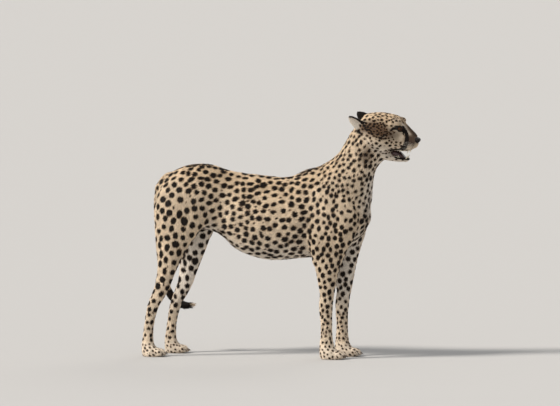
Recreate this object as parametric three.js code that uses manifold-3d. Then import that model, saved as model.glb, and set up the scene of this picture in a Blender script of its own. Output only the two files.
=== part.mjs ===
// A life-size cheetah standing still: hind legs drawn back, head up and turned a little to its right,
// mouth open.
// Millimetres. +X is the way the body faces, +Y its left side, +Z up, and the paws stand at Z = 0.
import * as THREE from "three";
import { mergeVertices } from "three/addons/utils/BufferGeometryUtils.js";
import Module from "manifold-3d";

const wasm = await Module();
wasm.setup();

const gap = 0.3; // clear space between neighbouring parts
const left = 1;
const right = -1;
const forward = new THREE.Vector3(1, 0, 0);
const leftward = new THREE.Vector3(0, 1, 0);
const upward = new THREE.Vector3(0, 0, 1);

const pawHeight = 58; // where each leg is divided from its paw
const forepawLength = 62; // from the front of the leg to past the toes
const forepawWidening = 9; // how much wider each side of the paw is than the leg
const hindpawLength = 64;
const hindpawWidening = 7;

// Where the head sits. Its own frame has X from the skull to the nose, Y to the left, Z up, and its origin
// at the tip of the nose.
const noseTip = new THREE.Vector3(567, -38, 880);
const headPitch = THREE.MathUtils.degToRad(16.5); // nose down
const headTurn = THREE.MathUtils.degToRad(-9); // to its right
const headRoll = THREE.MathUtils.degToRad(4); // right cheek down
const eyeRadius = 14.5;
const eyeCentre = new THREE.Vector3(-84, 33, 22);

// ---------- shape helpers ----------

// Reads rows of numbers as one smooth function: the first column is the place, the rest are values there.
function through(rows) {
  const places = rows.map((row) => row[0]);
  const values = rows.flatMap((row) => row.slice(1));
  const curve = new THREE.CubicInterpolant(places, values, rows[0].length - 1);
  return (place) => Array.from(curve.evaluate(place));
}

// Places from first to last, closer together near each end by the share that `crowding` gives.
function places(first, last, count, crowding = 0) {
  return Array.from({ length: count + 1 }, (_, i) => {
    const even = i / count;
    const crowded = (1 - Math.cos(Math.PI * even)) / 2;
    return THREE.MathUtils.lerp(first, last, THREE.MathUtils.lerp(even, crowded, crowding));
  });
}

function power(value, exponent) {
  return Math.sign(value) * Math.abs(value) ** exponent;
}

// One ring of points. `across` and `up` span its plane; the radii run each way from the centre.
// A roundness of 2 is an ellipse, less is more pointed and more is squarer.
function oval({
  centre,
  across = leftward,
  up = upward,
  side,
  above,
  below,
  roundAbove = 2,
  roundBelow = 2,
  sides,
  grow = 0,
}) {
  return Array.from({ length: sides }, (_, i) => {
    const angle = (2 * Math.PI * i) / sides;
    const upper = Math.sin(angle) >= 0;
    const exponent = 2 / (upper ? roundAbove : roundBelow);
    const out = side * power(Math.cos(angle), exponent);
    const lift = (upper ? above : below) * power(Math.sin(angle), exponent);
    const arm = new THREE.Vector3().addScaledVector(across, out).addScaledVector(up, lift);
    arm.setLength(arm.length() + grow);
    return arm.add(centre);
  });
}

// Pushes a ring's points out from its centre by every swelling near them. A negative height is a hollow.
function swell(ring, centre, swellings) {
  for (const point of ring) {
    const outward = point.clone().sub(centre).normalize();
    let push = 0;
    for (const { at, reach, height } of swellings) {
      const near = point.clone().sub(at).divide(reach).lengthSq();
      push += height * Math.exp(-near);
    }
    point.addScaledVector(outward, push);
  }
  return ring;
}

// A swelling, or a pair of them on both sides.
function swelling(at, reach, height, bothSides = true) {
  const one = { at: new THREE.Vector3(...at), reach: new THREE.Vector3(...reach), height };
  const mirrored = { ...one, at: one.at.clone().setY(-one.at.y) };
  return bothSides ? [one, mirrored] : [one];
}

// A closed skin over rings that all have the same number of points, with a flat fan on each end.
function loft(rings) {
  const sides = rings[0].length;
  const points = rings.flat();
  const faces = [];
  for (let ring = 0; ring < rings.length - 1; ring++) {
    for (let i = 0; i < sides; i++) {
      const a = ring * sides + i;
      const b = ring * sides + ((i + 1) % sides);
      faces.push(a, b, b + sides, a, b + sides, a + sides);
    }
  }
  const middle = (ring) => ring.reduce((sum, p) => sum.add(p), new THREE.Vector3()).divideScalar(sides);
  const start = points.push(middle(rings[0])) - 1;
  const end = points.push(middle(rings.at(-1))) - 1;
  const lastRing = (rings.length - 1) * sides;
  for (let i = 0; i < sides; i++) {
    const next = (i + 1) % sides;
    faces.push(start, next, i, end, lastRing + i, lastRing + next);
  }
  const geometry = new THREE.BufferGeometry().setFromPoints(points);
  geometry.setIndex(faces);
  return geometry;
}

// A round limb along a curve through points; radii is read along the curve from 0 to 1.
function limb({ points, radii, rings, sides, from = 0, to = 1, grow = 0 }) {
  const curve = new THREE.CatmullRomCurve3(points.map((p) => new THREE.Vector3(...p)));
  const radiusAt = through(radii);
  const ringAt = (share) => {
    const centre = curve.getPointAt(share);
    const along = curve.getTangentAt(share);
    const across = leftward.clone().cross(along).normalize();
    const up = along.clone().cross(across).normalize();
    const radius = radiusAt(share)[0];
    return oval({ centre, across, up, side: radius, above: radius, below: radius, sides, grow });
  };
  return loft(places(from, to, rings).map(ringAt));
}

function solid(geometry) {
  const clean = mergeVertices(geometry, 1e-3);
  const made = new wasm.Manifold(
    new wasm.Mesh({
      numProp: 3,
      vertProperties: Float32Array.from(clean.attributes.position.array),
      triVerts: Uint32Array.from(clean.index.array),
    }),
  );
  if (made.volume() < 0) throw new Error("a shape is inside out");
  return made;
}

// A ball or an egg as a solid, with `margin` added to each radius.
function ball({ centre, radii, across, down }, margin = 0) {
  const sphere = new THREE.SphereGeometry(1, across, down).rotateX(Math.PI / 2);
  sphere.deleteAttribute("normal").deleteAttribute("uv");
  return solid(sphere.scale(...radii.map((radius) => radius + margin)).translate(...centre));
}

function block(centre, sizes) {
  const box = new THREE.BoxGeometry(...sizes);
  box.deleteAttribute("normal").deleteAttribute("uv");
  return solid(box.translate(...centre));
}

function geometryOf(made) {
  const mesh = made.getMesh();
  const geometry = new THREE.BufferGeometry();
  geometry.setAttribute("position", new THREE.BufferAttribute(Float32Array.from(mesh.vertProperties), 3));
  geometry.setIndex(new THREE.BufferAttribute(Uint32Array.from(mesh.triVerts), 1));
  return geometry;
}

// ---------- trunk ----------

// Distance along the body, back, belly, half width, and height of the widest line as a share from the belly.
const trunkRows = [
  [-497, 684, 628, 14, 0.5],
  [-486, 704, 604, 36, 0.5],
  [-462, 727, 572, 60, 0.5],
  [-425, 750, 540, 78, 0.52],
  [-380, 766, 520, 88, 0.56],
  [-329, 774, 508, 91, 0.58],
  [-280, 772, 500, 86, 0.56],
  [-240, 758, 482, 81, 0.5],
  [-200, 746, 446, 84, 0.46],
  [-150, 738, 414, 93, 0.42],
  [-95, 732, 397, 101, 0.4],
  [-40, 727, 391, 105, 0.41],
  [10, 722, 393, 106, 0.43],
  [60, 730, 398, 104, 0.46],
  [110, 752, 401, 98, 0.48],
  [160, 764, 405, 90, 0.48],
  [210, 762, 414, 82, 0.46],
  [260, 742, 432, 75, 0.44],
  [305, 700, 464, 66, 0.42],
  [335, 652, 500, 54, 0.42],
  [354, 612, 530, 36, 0.44],
  [364, 586, 554, 14, 0.5],
];

const trunkSwellings = [
  ...swelling([70, 92, 560], [150, 60, 120], 4), // rib cage
  ...swelling([-215, 84, 560], [60, 60, 90], -8), // hollow of the flank
  ...swelling([120, 30, 765], [60, 30, 40], 5), // top edge of the shoulder blade
  ...swelling([120, 0, 775], [80, 14, 30], -4, false), // dip between the shoulder blades
  ...swelling([-385, 45, 770], [50, 26, 40], 5), // point of the hip
];

function trunk(grow = 0) {
  const at = through(trunkRows);
  const first = trunkRows[0][0] - grow;
  const last = trunkRows.at(-1)[0] + grow;
  const rings = places(first, last, 26, 0.35).map((x) => {
    const [back, belly, half, widest] = at(THREE.MathUtils.clamp(x, trunkRows[0][0], trunkRows.at(-1)[0]));
    const level = THREE.MathUtils.lerp(belly, back, widest);
    const centre = new THREE.Vector3(x, 0, level);
    const ring = oval({
      centre,
      side: half,
      above: back - level,
      below: level - belly,
      roundAbove: 1.9,
      roundBelow: 2.15,
      sides: 20,
      grow,
    });
    return swell(ring, centre, trunkSwellings);
  });
  return loft(rings);
}

// ---------- neck ----------

// Each row is one ring: place, nape X and Z, throat X and Z, half width, sideways shift.
const neckRows = [
  [0, 92, 730, 318, 530, 66, 0],
  [1, 150, 766, 362, 596, 78, 0],
  [2, 196, 790, 371, 652, 74, 0],
  [3, 230, 818, 374, 704, 66, -1],
  [4, 256, 856, 381, 742, 61, -3],
  [5, 280, 900, 396, 770, 60, -6],
  [6, 314, 940, 428, 800, 58, -11],
];

const neckSwellings = [
  ...swelling([338, 46, 745], [60, 30, 60], 4), // muscle from jaw to breast
];

function neck(grow = 0) {
  const at = through(neckRows);
  const rings = places(0, neckRows.length - 1, 7).map((place) => {
    const [napeX, napeZ, throatX, throatZ, half, shift] = at(place);
    const nape = new THREE.Vector3(napeX, shift, napeZ);
    const throat = new THREE.Vector3(throatX, shift, throatZ);
    const centre = nape.clone().lerp(throat, 0.5);
    const up = nape.clone().sub(throat).normalize();
    const reach = nape.distanceTo(throat) / 2;
    const ring = oval({
      centre,
      up,
      side: half,
      above: reach,
      below: reach,
      roundAbove: 1.9,
      roundBelow: 2,
      sides: 16,
      grow,
    });
    return swell(ring, centre, neckSwellings);
  });
  return loft(rings);
}

// ---------- head, in its own frame ----------

// Distance from the nose tip, crown, underside, half width, level of the widest line, roundness above
// and below.
const headRows = [
  [-252, 12, -58, 26, -18, 2, 2],
  [-242, 30, -78, 47, -20, 2, 2],
  [-222, 41, -94, 60, -24, 2.1, 2],
  [-195, 52, -104, 67, -28, 2.2, 2],
  [-168, 59, -110, 70, -32, 2.2, 2.1],
  [-145, 62, -110, 70, -34, 2.15, 2.2],
  [-122, 64, -102, 66, -30, 2.1, 2.4],
  [-102, 61, -86, 59, -26, 2, 2.6],
  [-86, 53, -75, 50, -28, 1.9, 2.8],
  [-72, 45, -71, 43, -30, 1.75, 2.8],
  [-58, 36, -67, 38, -33, 1.65, 2.6],
  [-44, 29, -62, 35, -33, 1.65, 2.5],
  [-30, 21, -55, 32, -29, 1.7, 2.3],
  [-18, 13, -45, 26, -23, 1.8, 2.2],
  [-9, 5, -37, 19, -20, 1.9, 2.1],
  [-3, -4, -30, 10, -18, 2, 2],
];

const headSwellings = [
  ...swelling([-100, 38, 50], [22, 18, 16], 6), // brow
  ...swelling([-90, 44, 16], [17, 16, 14], -9), // eye socket
  ...swelling([-118, 62, -8], [26, 20, 16], 5), // cheek bone
  ...swelling([-165, 70, -62], [34, 26, 34], 6), // cheek ruff
  ...swelling([-38, 30, -34], [20, 18, 16], 6), // whisker pad
  ...swelling([-76, 30, -4], [18, 14, 14], -3), // hollow before the cheek
  ...swelling([-90, 0, 60], [26, 12, 16], -3, false), // furrow of the forehead
];

function skull(grow = 0) {
  const at = through(headRows);
  const first = headRows[0][0];
  const last = headRows.at(-1)[0];
  const rings = places(first, last, 18, 0.2).map((x, i, all) => {
    const [crown, under, half, level, roundAbove, roundBelow] = at(x);
    const beyond = i === 0 ? -grow : i === all.length - 1 ? grow : 0;
    const centre = new THREE.Vector3(x + beyond, 0, level);
    const ring = oval({
      centre,
      side: half,
      above: crown - level,
      below: level - under,
      roundAbove,
      roundBelow,
      sides: 20,
      grow,
    });
    return swell(ring, centre, headSwellings);
  });
  return loft(rings);
}

// Distance from the nose tip, lip line, underside, half width.
const jawRows = [
  [-152, -94, -114, 34],
  [-128, -90, -120, 38],
  [-104, -88, -120, 35],
  [-84, -91, -117, 30],
  [-66, -90, -113, 26],
  [-50, -87, -109, 22],
  [-37, -83, -104, 18],
  [-26, -82, -98, 12],
  [-20, -84, -92, 6],
];

function jaw(grow = 0) {
  const at = through(jawRows);
  const rings = places(jawRows[0][0], jawRows.at(-1)[0], 8, 0.3).map((x) => {
    const [lip, under, half] = at(x);
    const level = THREE.MathUtils.lerp(under, lip, 0.6);
    const centre = new THREE.Vector3(x, 0, level);
    return oval({
      centre,
      side: half,
      above: lip - level,
      below: level - under,
      roundAbove: 3.2,
      roundBelow: 2.1,
      sides: 10,
      grow,
    });
  });
  return loft(rings);
}

// The hollow of the mouth, between palate and tongue.
const mouthHollow = { centre: [-72, 0, -76], radii: [42, 22, 14], across: 10, down: 6 };
const nosePad = { centre: [-10, 0, -7], radii: [12.5, 17, 13], across: 10, down: 7 };
const tongue = { centre: [-76, 0, -92], radii: [42, 16, 8], across: 8, down: 6 };
const tongueBase = -95; // below this the tongue is flat, on the floor of the mouth

function eyeball(side) {
  const centre = [eyeCentre.x, side * eyeCentre.y, eyeCentre.z];
  return { centre, radii: [eyeRadius, eyeRadius, eyeRadius], across: 10, down: 7 };
}

// A tooth or a claw: a cone from its root to its tip.
function spike(root, tip, thickness, sides) {
  const from = new THREE.Vector3(...root);
  const line = new THREE.Vector3(...tip).sub(from);
  const cone = new THREE.ConeGeometry(thickness, line.length(), sides);
  cone.deleteAttribute("normal").deleteAttribute("uv");
  cone.translate(0, line.length() / 2, 0);
  const turn = new THREE.Quaternion().setFromUnitVectors(leftward, line.clone().normalize());
  return solid(cone.applyQuaternion(turn).translate(...from.toArray()));
}

const upperTeeth = [
  { root: [-31, 15, -50], tip: [-33, 16, -73], thickness: 4.5 },
  { root: [-60, 22, -60], tip: [-62, 22, -74], thickness: 6 },
];
const lowerTeeth = [
  { root: [-33, 11, -89], tip: [-31, 12, -70], thickness: 4.2 },
  { root: [-64, 19, -95], tip: [-64, 19, -83], thickness: 5 },
];

function withTeeth(body, teeth) {
  let made = body;
  for (const { root, tip, thickness } of teeth) {
    for (const side of [left, right]) {
      const onSide = ([x, y, z]) => [x, side * y, z];
      made = made.add(spike(onSide(root), onSide(tip), thickness, 5));
    }
  }
  return made;
}

// An ear: a cupped leaf, laid back and opening outwards.
// From root to tip: share of the length, half width, depth of the cup, thickness.
const earRows = [
  [0, 22, 9, 9],
  [0.3, 27, 12, 6],
  [0.6, 26, 10, 4.5],
  [0.85, 18, 6, 3.6],
  [1, 8, 2, 2.6],
];
const earRoot = new THREE.Vector3(-222, 50, -12);
const earTip = new THREE.Vector3(-290, 58, 9);
const earOpening = new THREE.Vector3(0.3, 0.85, -0.42); // the way that the cup faces

function ear(side) {
  const at = through(earRows);
  const along = earTip.clone().sub(earRoot);
  const wide = new THREE.Vector3().crossVectors(along, earOpening).normalize();
  const facing = new THREE.Vector3().crossVectors(wide, along).normalize();
  const steps = 5; // points across each face of the ear
  const rings = places(0, 1, 6).map((share) => {
    const [half, cup, thick] = at(share);
    const centre = earRoot.clone().addScaledVector(along, share);
    const ring = [];
    for (const face of [1, -1]) {
      for (let i = 0; i < steps; i++) {
        const over = face * (1 - (2 * (i + 0.5)) / steps);
        const bend = cup * (over * over - 0.4) + (face * thick) / 2;
        ring.push(centre.clone().addScaledVector(wide, over * half).addScaledVector(facing, bend));
      }
    }
    return ring.map((point) => point.setY(side * point.y));
  });
  return loft(side === right ? rings : rings.map((ring) => ring.reverse()));
}

// ---------- legs ----------

// Down the right legs: height, front X, back X, centre Y without its side, half width.
const forelegRows = [
  [735, 178, 122, 26, 12],
  [712, 208, 106, 37, 21],
  [655, 272, 92, 55, 36],
  [590, 320, 96, 65, 42],
  [520, 325, 104, 69, 42],
  [470, 302, 116, 70, 38],
  [430, 279, 130, 69, 34],
  [390, 260, 142, 68, 30],
  [345, 246, 152, 67, 26],
  [300, 237, 160, 66, 23],
  [255, 228, 168, 65, 21],
  [225, 223, 166, 64, 22],
  [204, 222, 161, 64, 22],
  [178, 220, 167, 64, 21],
  [130, 220, 171, 64, 20],
  [90, 221, 170, 64, 21],
  [pawHeight, 226, 167, 64, 23],
];
const hindlegRows = [
  [722, -366, -430, 46, 18],
  [680, -312, -478, 56, 34],
  [630, -278, -500, 60, 44],
  [575, -274, -504, 62, 47],
  [525, -300, -501, 64, 44],
  [480, -336, -496, 68, 38],
  [435, -366, -491, 72, 32],
  [390, -390, -488, 75, 27],
  [345, -411, -491, 77, 23],
  [300, -429, -498, 78, 20],
  [262, -443, -508, 79, 18],
  [236, -460, -520, 80, 18],
  [210, -478, -530, 80, 18],
  [178, -490, -536, 80, 17],
  [138, -500, -542, 80, 16],
  [95, -505, -548, 80, 18],
  [pawHeight, -504, -553, 80, 21],
];

// How far forward of the right leg the left one stands: height, distance.
const foreStride = [
  [pawHeight, 42],
  [178, 43],
  [300, 47],
  [390, 41],
  [470, 24],
  [520, 16],
  [735, 18],
];
const hindStride = [
  [pawHeight, 62],
  [236, 62],
  [345, 61],
  [435, 53],
  [480, 42],
  [525, 27],
  [575, 12],
  [722, 18],
];

function strideRows(rows, stride) {
  const ahead = through(stride);
  return rows.map(([height, front, back, centreY, half]) => {
    const step = ahead(height)[0];
    return [height, front + step, back + step, centreY, half];
  });
}

const foreleg = { [right]: forelegRows, [left]: strideRows(forelegRows, foreStride) };
const hindleg = { [right]: hindlegRows, [left]: strideRows(hindlegRows, hindStride) };

// A leg of level rings, from its paw up into the body.
function leg(rows, side, steps, swellings, grow = 0) {
  const at = through([...rows].reverse()); // from the lowest height up
  const rings = places(pawHeight + gap, rows[0][0], steps, 0.15).map((height) => {
    const [front, back, centreY, half] = at(height);
    const centre = new THREE.Vector3((front + back) / 2, side * centreY, height);
    const ring = oval({
      centre,
      up: forward,
      side: half,
      above: (front - back) / 2,
      below: (front - back) / 2,
      roundAbove: 2.1,
      roundBelow: 2,
      sides: 12,
      grow,
    });
    return swell(ring, centre, swellings).reverse();
  });
  return loft(rings);
}

// ---------- paws ----------

// Toes from the right to the left: sideways place, how far each tip stands ahead, radius.
const toes = [
  { out: -22, ahead: -8, radius: 10 },
  { out: -7.5, ahead: 0, radius: 11 },
  { out: 7.5, ahead: 1, radius: 11 },
  { out: 22, ahead: -6, radius: 10 },
];

// A paw with four toes, each with a claw that never fully draws in. Its top is the leg's last ring.
function paw(rows, side, length, width) {
  const [height, front, back, centreY, half] = rows.at(-1);
  const y = side * centreY;
  const slopeRows = through([
    [-4, front + 0.5 * length, back + 8, half + width - 6],
    [8, front + 0.56 * length, back + 2, half + width],
    [20, front + 0.48 * length, back, half + width],
    [34, front + 0.24 * length, back, half + 0.6 * width],
    [46, front + 0.06 * length, back, half + 0.2 * width],
    [height, front, back, half],
  ]);
  const slopeRings = places(-4, height, 5).map((z) => {
    const [ringFront, ringBack, ringHalf] = slopeRows(z);
    const reach = (ringFront - ringBack) / 2;
    const centre = new THREE.Vector3((ringFront + ringBack) / 2, y, z);
    return oval({ centre, up: forward, side: ringHalf, above: reach, below: reach, sides: 10 }).reverse();
  });
  let made = solid(loft(slopeRings));
  for (const toe of toes) {
    const tip = front + 0.72 * length + toe.ahead;
    const out = y + toe.out;
    const bones = [
      [tip - 0.62 * length, out - toe.out * 0.35, 26],
      [tip - 0.34 * length, out - toe.out * 0.08, 25],
      [tip - 12, out, 17],
      [tip, out, 8],
    ];
    const radii = [
      [0, toe.radius - 3],
      [0.4, toe.radius],
      [0.78, toe.radius],
      [1, toe.radius * 0.4],
    ];
    made = made.add(solid(limb({ points: bones, radii, rings: 4, sides: 6 })));
    made = made.add(spike([tip - 7, out, 14], [tip + 9, out, 4], 3.2, 4));
  }
  const underFloor = block([(front + back) / 2, y, -30], [400, 200, 60]);
  return made.subtract(underFloor);
}

// ---------- tail ----------

// It hangs behind the far thigh, comes round outside the left hock and lifts its tip.
const tailPoints = [
  [-440, 0, 716],
  [-484, 2, 688],
  [-500, 8, 620],
  [-503, 20, 530],
  [-504, 42, 445],
  [-504, 74, 370],
  [-500, 103, 302],
  [-489, 121, 258],
  [-474, 130, 226],
  [-450, 133, 203],
  [-424, 132, 191],
  [-385, 128, 192],
];
const tailRadii = [
  [0, 30],
  [0.1, 24],
  [0.25, 19],
  [0.6, 17],
  [0.85, 17],
  [0.94, 14],
  [0.985, 8],
  [1, 3],
];
const tailCuts = [0, 0.42, 0.76, 1]; // shares of its length where it is divided
const tailGap = 0.0005; // the gap as a share of its length

function tailLength(index) {
  const from = tailCuts[index] + (index > 0 ? tailGap : 0);
  return limb({ points: tailPoints, radii: tailRadii, rings: 8, sides: 8, from, to: tailCuts[index + 1] });
}

// ---------- assembly ----------

const coat = new THREE.MeshStandardMaterial({ color: 0xd9b98c, roughness: 0.85 });
const paleCoat = new THREE.MeshStandardMaterial({ color: 0xe6d3b3, roughness: 0.85 });
const darkCoat = new THREE.MeshStandardMaterial({ color: 0x2a211c, roughness: 0.85 });
const amber = new THREE.MeshStandardMaterial({ color: 0x8a5a1e, roughness: 0.15 });
const noseLeather = new THREE.MeshStandardMaterial({ color: 0x14100f, roughness: 0.5 });
const tongueFlesh = new THREE.MeshStandardMaterial({ color: 0xb5736b, roughness: 0.5 });

const cheetah = new THREE.Group();
const headGroup = new THREE.Group();
headGroup.position.copy(noseTip);
headGroup.rotation.set(headRoll, headPitch, headTurn, "ZYX");
headGroup.updateMatrix();
cheetah.add(headGroup);

function addPart(group, name, made, material) {
  const mesh = new THREE.Mesh(geometryOf(made), material);
  mesh.name = name;
  group.add(mesh);
}

const sides = [
  { side: left, name: "left" },
  { side: right, name: "right" },
];

// Trunk and neck. The neck is cut back to the trunk and to the head, which is set in its own frame.
const inBody = headGroup.matrix;
const inHead = headGroup.matrix.clone().invert();
const trunkClear = solid(trunk(gap));
const neckClear = solid(neck(gap));
addPart(cheetah, "trunk", solid(trunk()), coat);
const neckBelowHead = solid(neck())
  .subtract(trunkClear)
  .subtract(solid(skull(gap).applyMatrix4(inBody)))
  .subtract(solid(jaw(gap).applyMatrix4(inBody)));
addPart(cheetah, "neck", neckBelowHead, coat);

// Head, jaw and what they hold.
const hollow = ball(mouthHollow);
const skullClear = solid(skull(gap));
const skullAroundMouth = skullClear.subtract(hollow);
const jawAroundMouth = solid(jaw(gap)).subtract(hollow);
let head = solid(skull()).subtract(hollow).subtract(ball(nosePad, gap)).subtract(jawAroundMouth);
for (const { side } of sides) head = head.subtract(ball(eyeball(side), gap));
addPart(headGroup, "head", withTeeth(head, upperTeeth), coat);

const underTongue = (clearance) => block([tongue.centre[0], 0, tongueBase - 20 - clearance], [120, 60, 40]);
const tongueShape = ball(tongue).subtract(underTongue(0));
const tongueBed = ball(tongue, gap).subtract(underTongue(gap));
const lowerJaw = solid(jaw()).subtract(skullAroundMouth).subtract(hollow);
addPart(headGroup, "jaw", withTeeth(lowerJaw, lowerTeeth).subtract(tongueBed), paleCoat);
addPart(headGroup, "tongue", tongueShape.subtract(skullAroundMouth), tongueFlesh);
addPart(headGroup, "nose", ball(nosePad), noseLeather);

const neckAroundEars = solid(neck(gap).applyMatrix4(inHead));
for (const { side, name } of sides) {
  addPart(headGroup, `eye_${name}`, ball(eyeball(side)), amber);
  addPart(headGroup, `ear_${name}`, solid(ear(side)).subtract(skullClear).subtract(neckAroundEars), darkCoat);
}

// Legs and paws.
const foreSwellings = [
  ...swelling([270, 106, 590], [60, 40, 60], 4), // point of the shoulder
  ...swelling([170, 100, 480], [50, 40, 50], 4), // back of the upper arm
  ...swelling([175, 88, 200], [14, 30, 18], 4), // pad behind the wrist
];
const hindSwellings = [
  ...swelling([-400, 108, 640], [90, 50, 80], 3), // thigh
  ...swelling([-310, 100, 520], [40, 40, 50], 3), // knee
];
const hindLegRings = 17;
for (const { side, name } of sides) {
  const fore = solid(leg(foreleg[side], side, 16, foreSwellings));
  const hind = solid(leg(hindleg[side], side, hindLegRings, hindSwellings));
  addPart(cheetah, `foreleg_${name}`, fore.subtract(trunkClear).subtract(neckClear), coat);
  addPart(cheetah, `forepaw_${name}`, paw(foreleg[side], side, forepawLength, forepawWidening), paleCoat);
  addPart(cheetah, `hindleg_${name}`, hind.subtract(trunkClear), coat);
  addPart(cheetah, `hindpaw_${name}`, paw(hindleg[side], side, hindpawLength, hindpawWidening), paleCoat);
}

// Tail.
["tail_base", "tail_middle", "tail_tip"].forEach((name, index) => {
  let length = solid(tailLength(index)).subtract(trunkClear);
  for (const { side } of sides) {
    length = length.subtract(solid(leg(hindleg[side], side, hindLegRings, hindSwellings, gap)));
  }
  addPart(cheetah, name, length, name === "tail_tip" ? darkCoat : coat);
});

// The origin is the middle of the footprint of the whole animal, on the floor.
const bounds = new THREE.Box3().setFromObject(cheetah, true);
const middle = bounds.getCenter(new THREE.Vector3());
cheetah.position.set(-middle.x, -middle.y, -bounds.min.z);

export default cheetah;
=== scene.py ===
import bmesh
import bpy
import itertools
import math
import numpy as np
from mathutils import Matrix, Vector
from mathutils.bvhtree import BVHTree
from mathutils.kdtree import KDTree


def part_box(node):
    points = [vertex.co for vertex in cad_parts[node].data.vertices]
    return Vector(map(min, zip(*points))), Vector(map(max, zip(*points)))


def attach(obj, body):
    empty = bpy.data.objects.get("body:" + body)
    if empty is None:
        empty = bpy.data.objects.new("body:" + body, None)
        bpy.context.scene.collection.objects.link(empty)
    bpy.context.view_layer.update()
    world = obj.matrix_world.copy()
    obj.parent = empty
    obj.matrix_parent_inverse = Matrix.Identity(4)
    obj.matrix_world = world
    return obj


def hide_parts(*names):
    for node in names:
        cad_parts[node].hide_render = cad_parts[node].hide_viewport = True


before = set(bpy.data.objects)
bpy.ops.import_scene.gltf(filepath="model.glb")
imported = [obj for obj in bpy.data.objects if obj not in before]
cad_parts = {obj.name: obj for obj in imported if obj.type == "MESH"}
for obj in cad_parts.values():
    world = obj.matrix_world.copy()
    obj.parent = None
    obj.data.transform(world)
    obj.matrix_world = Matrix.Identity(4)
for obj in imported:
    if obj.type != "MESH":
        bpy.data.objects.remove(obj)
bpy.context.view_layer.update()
scene = bpy.context.scene
random = np.random.default_rng(7)


def rowsOf(items, key, width=3, kind=float):
    flat = np.empty(len(items) * width, kind)
    items.foreach_get(key, flat)
    return flat.reshape(-1, width)


def pointsOf(mesh):
    return rowsOf(mesh.vertices, "co")


def normalsOf(mesh):
    return rowsOf(mesh.vertex_normals, "vector")


def edgesOf(mesh):
    return rowsOf(mesh.edges, "vertices", 2, np.int64)


def setPoints(mesh, points):
    mesh.vertices.foreach_set("co", points.ravel())
    mesh.update()


# Moves every value some way to the mean of its neighbours, `rounds` times.
def relaxed(values, edges, amount, rounds):
    count = len(values)
    values = values.reshape(count, -1).astype(float)
    one, two = edges[:, 0], edges[:, 1]
    neighbours = np.bincount(edges.ravel(), minlength=count)[:, None]
    share = np.broadcast_to(np.asarray(amount, float).reshape(-1, 1), (count, 1))
    for _ in range(rounds):
        sums = [np.bincount(one, row[two], count) + np.bincount(two, row[one], count) for row in values.T]
        values = values + share * (np.stack(sums, axis=1) / neighbours - values)
    return values


# The same for one number at each point.
def blended(values, edges, rounds):
    return relaxed(values, edges, 0.5, rounds)[:, 0]


# 1 at the centre, falling smoothly to 0 at one radius away on each axis.
def near(points, centre, radii):
    away = np.linalg.norm((points - np.array(centre)) / np.array(radii), axis=1)
    return np.clip(1 - away**2, 0, 1) ** 2


def unit(vectors):
    return vectors / (np.linalg.norm(vectors, axis=1)[:, None] + 1e-12)


def ease(value, first, last):
    share = np.clip((value - first) / (last - first), 0, 1)
    return share * share * (3 - 2 * share)


# Distance to a path of points, and how far along it the nearest place is, from 0 to 1.
def alongPath(points, path):
    path = np.array(path, float)
    lengths = np.linalg.norm(np.diff(path, axis=0), axis=1)
    before = np.concatenate([[0], np.cumsum(lengths)])
    best, place = np.full(len(points), 1e9), np.zeros(len(points))
    for i, length in enumerate(lengths):
        step = (path[i + 1] - path[i]) / length
        reach = np.clip((points - path[i]) @ step, 0, length)
        away = np.linalg.norm(points - path[i] - reach[:, None] * step, axis=1)
        closer = away < best
        best[closer], place[closer] = away[closer], (before[i] + reach[closer]) / before[-1]
    return best, place


def meshFrom(shape, name):
    mesh = bpy.data.meshes.new(name)
    shape.to_mesh(mesh)
    shape.free()
    return mesh


# Adds a finished piece, which stands for the modelled parts named last.
def addPiece(name, mesh, slot, paint, *stands):
    mesh.name = name
    mesh.materials.clear()
    mesh.materials.append(paint)
    for face in mesh.polygons:
        face.use_smooth = True
    piece = bpy.data.objects.new(name, mesh)
    scene.collection.objects.link(piece)
    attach(piece, "root")
    if stands:
        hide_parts(*stands)


def addNode(tree, kind, inputs=None, **settings):
    node = tree.nodes.new(kind)
    for name, value in settings.items():
        setattr(node, name, value)
    for name, value in (inputs or {}).items():
        socket = node.inputs[name]
        if isinstance(value, bpy.types.NodeSocket):
            tree.links.new(value, socket)
        else:
            socket.default_value = value
    return node


def newGroup(name, kind, inputs, outputs):
    group = bpy.data.node_groups.new(name, kind)
    for label, sort, value in inputs:
        socket = group.interface.new_socket(label, in_out="INPUT", socket_type=sort)
        if value is not None:
            socket.default_value = value
    for label, sort in outputs:
        group.interface.new_socket(label, in_out="OUTPUT", socket_type=sort)
    return group, group.nodes.new("NodeGroupInput"), group.nodes.new("NodeGroupOutput")


def mixed(tree, factor, one, two, blend="MIX"):
    inputs = {0: factor, 6: one, 7: two}
    return addNode(tree, "ShaderNodeMix", inputs, data_type="RGBA", blend_type=blend).outputs[2]


def ranged(tree, value, low, high, first=0.0, last=1.0, smooth=True):
    node = addNode(
        tree,
        "ShaderNodeMapRange",
        {"Value": value, "From Min": low, "From Max": high, "To Min": first, "To Max": last},
        interpolation_type="SMOOTHSTEP" if smooth else "LINEAR",
    )
    return node.outputs["Result"]


def sumOf(tree, one, two, operation="ADD"):
    return addNode(tree, "ShaderNodeMath", {0: one, 1: two}, operation=operation).outputs[0]


def attribute(tree, name):
    return addNode(tree, "ShaderNodeAttribute", attribute_name=name).outputs["Fac"]


def noise(tree, scale, detail=3.0, place=None):
    place = place or addNode(tree, "ShaderNodeTexCoord").outputs["Object"]
    inputs = {"Vector": place, "Scale": scale, "Detail": detail}
    return addNode(tree, "ShaderNodeTexNoise", inputs).outputs["Fac"]


# A material with its shader, whose fixed values are `constants`.
def newPaint(name, **constants):
    paint = bpy.data.materials.new(name)
    paint.use_nodes = True
    shader = paint.node_tree.nodes["Principled BSDF"]
    for label, value in constants.items():
        shader.inputs[label.replace("_", " ")].default_value = value
    return paint, paint.node_tree, shader


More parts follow.
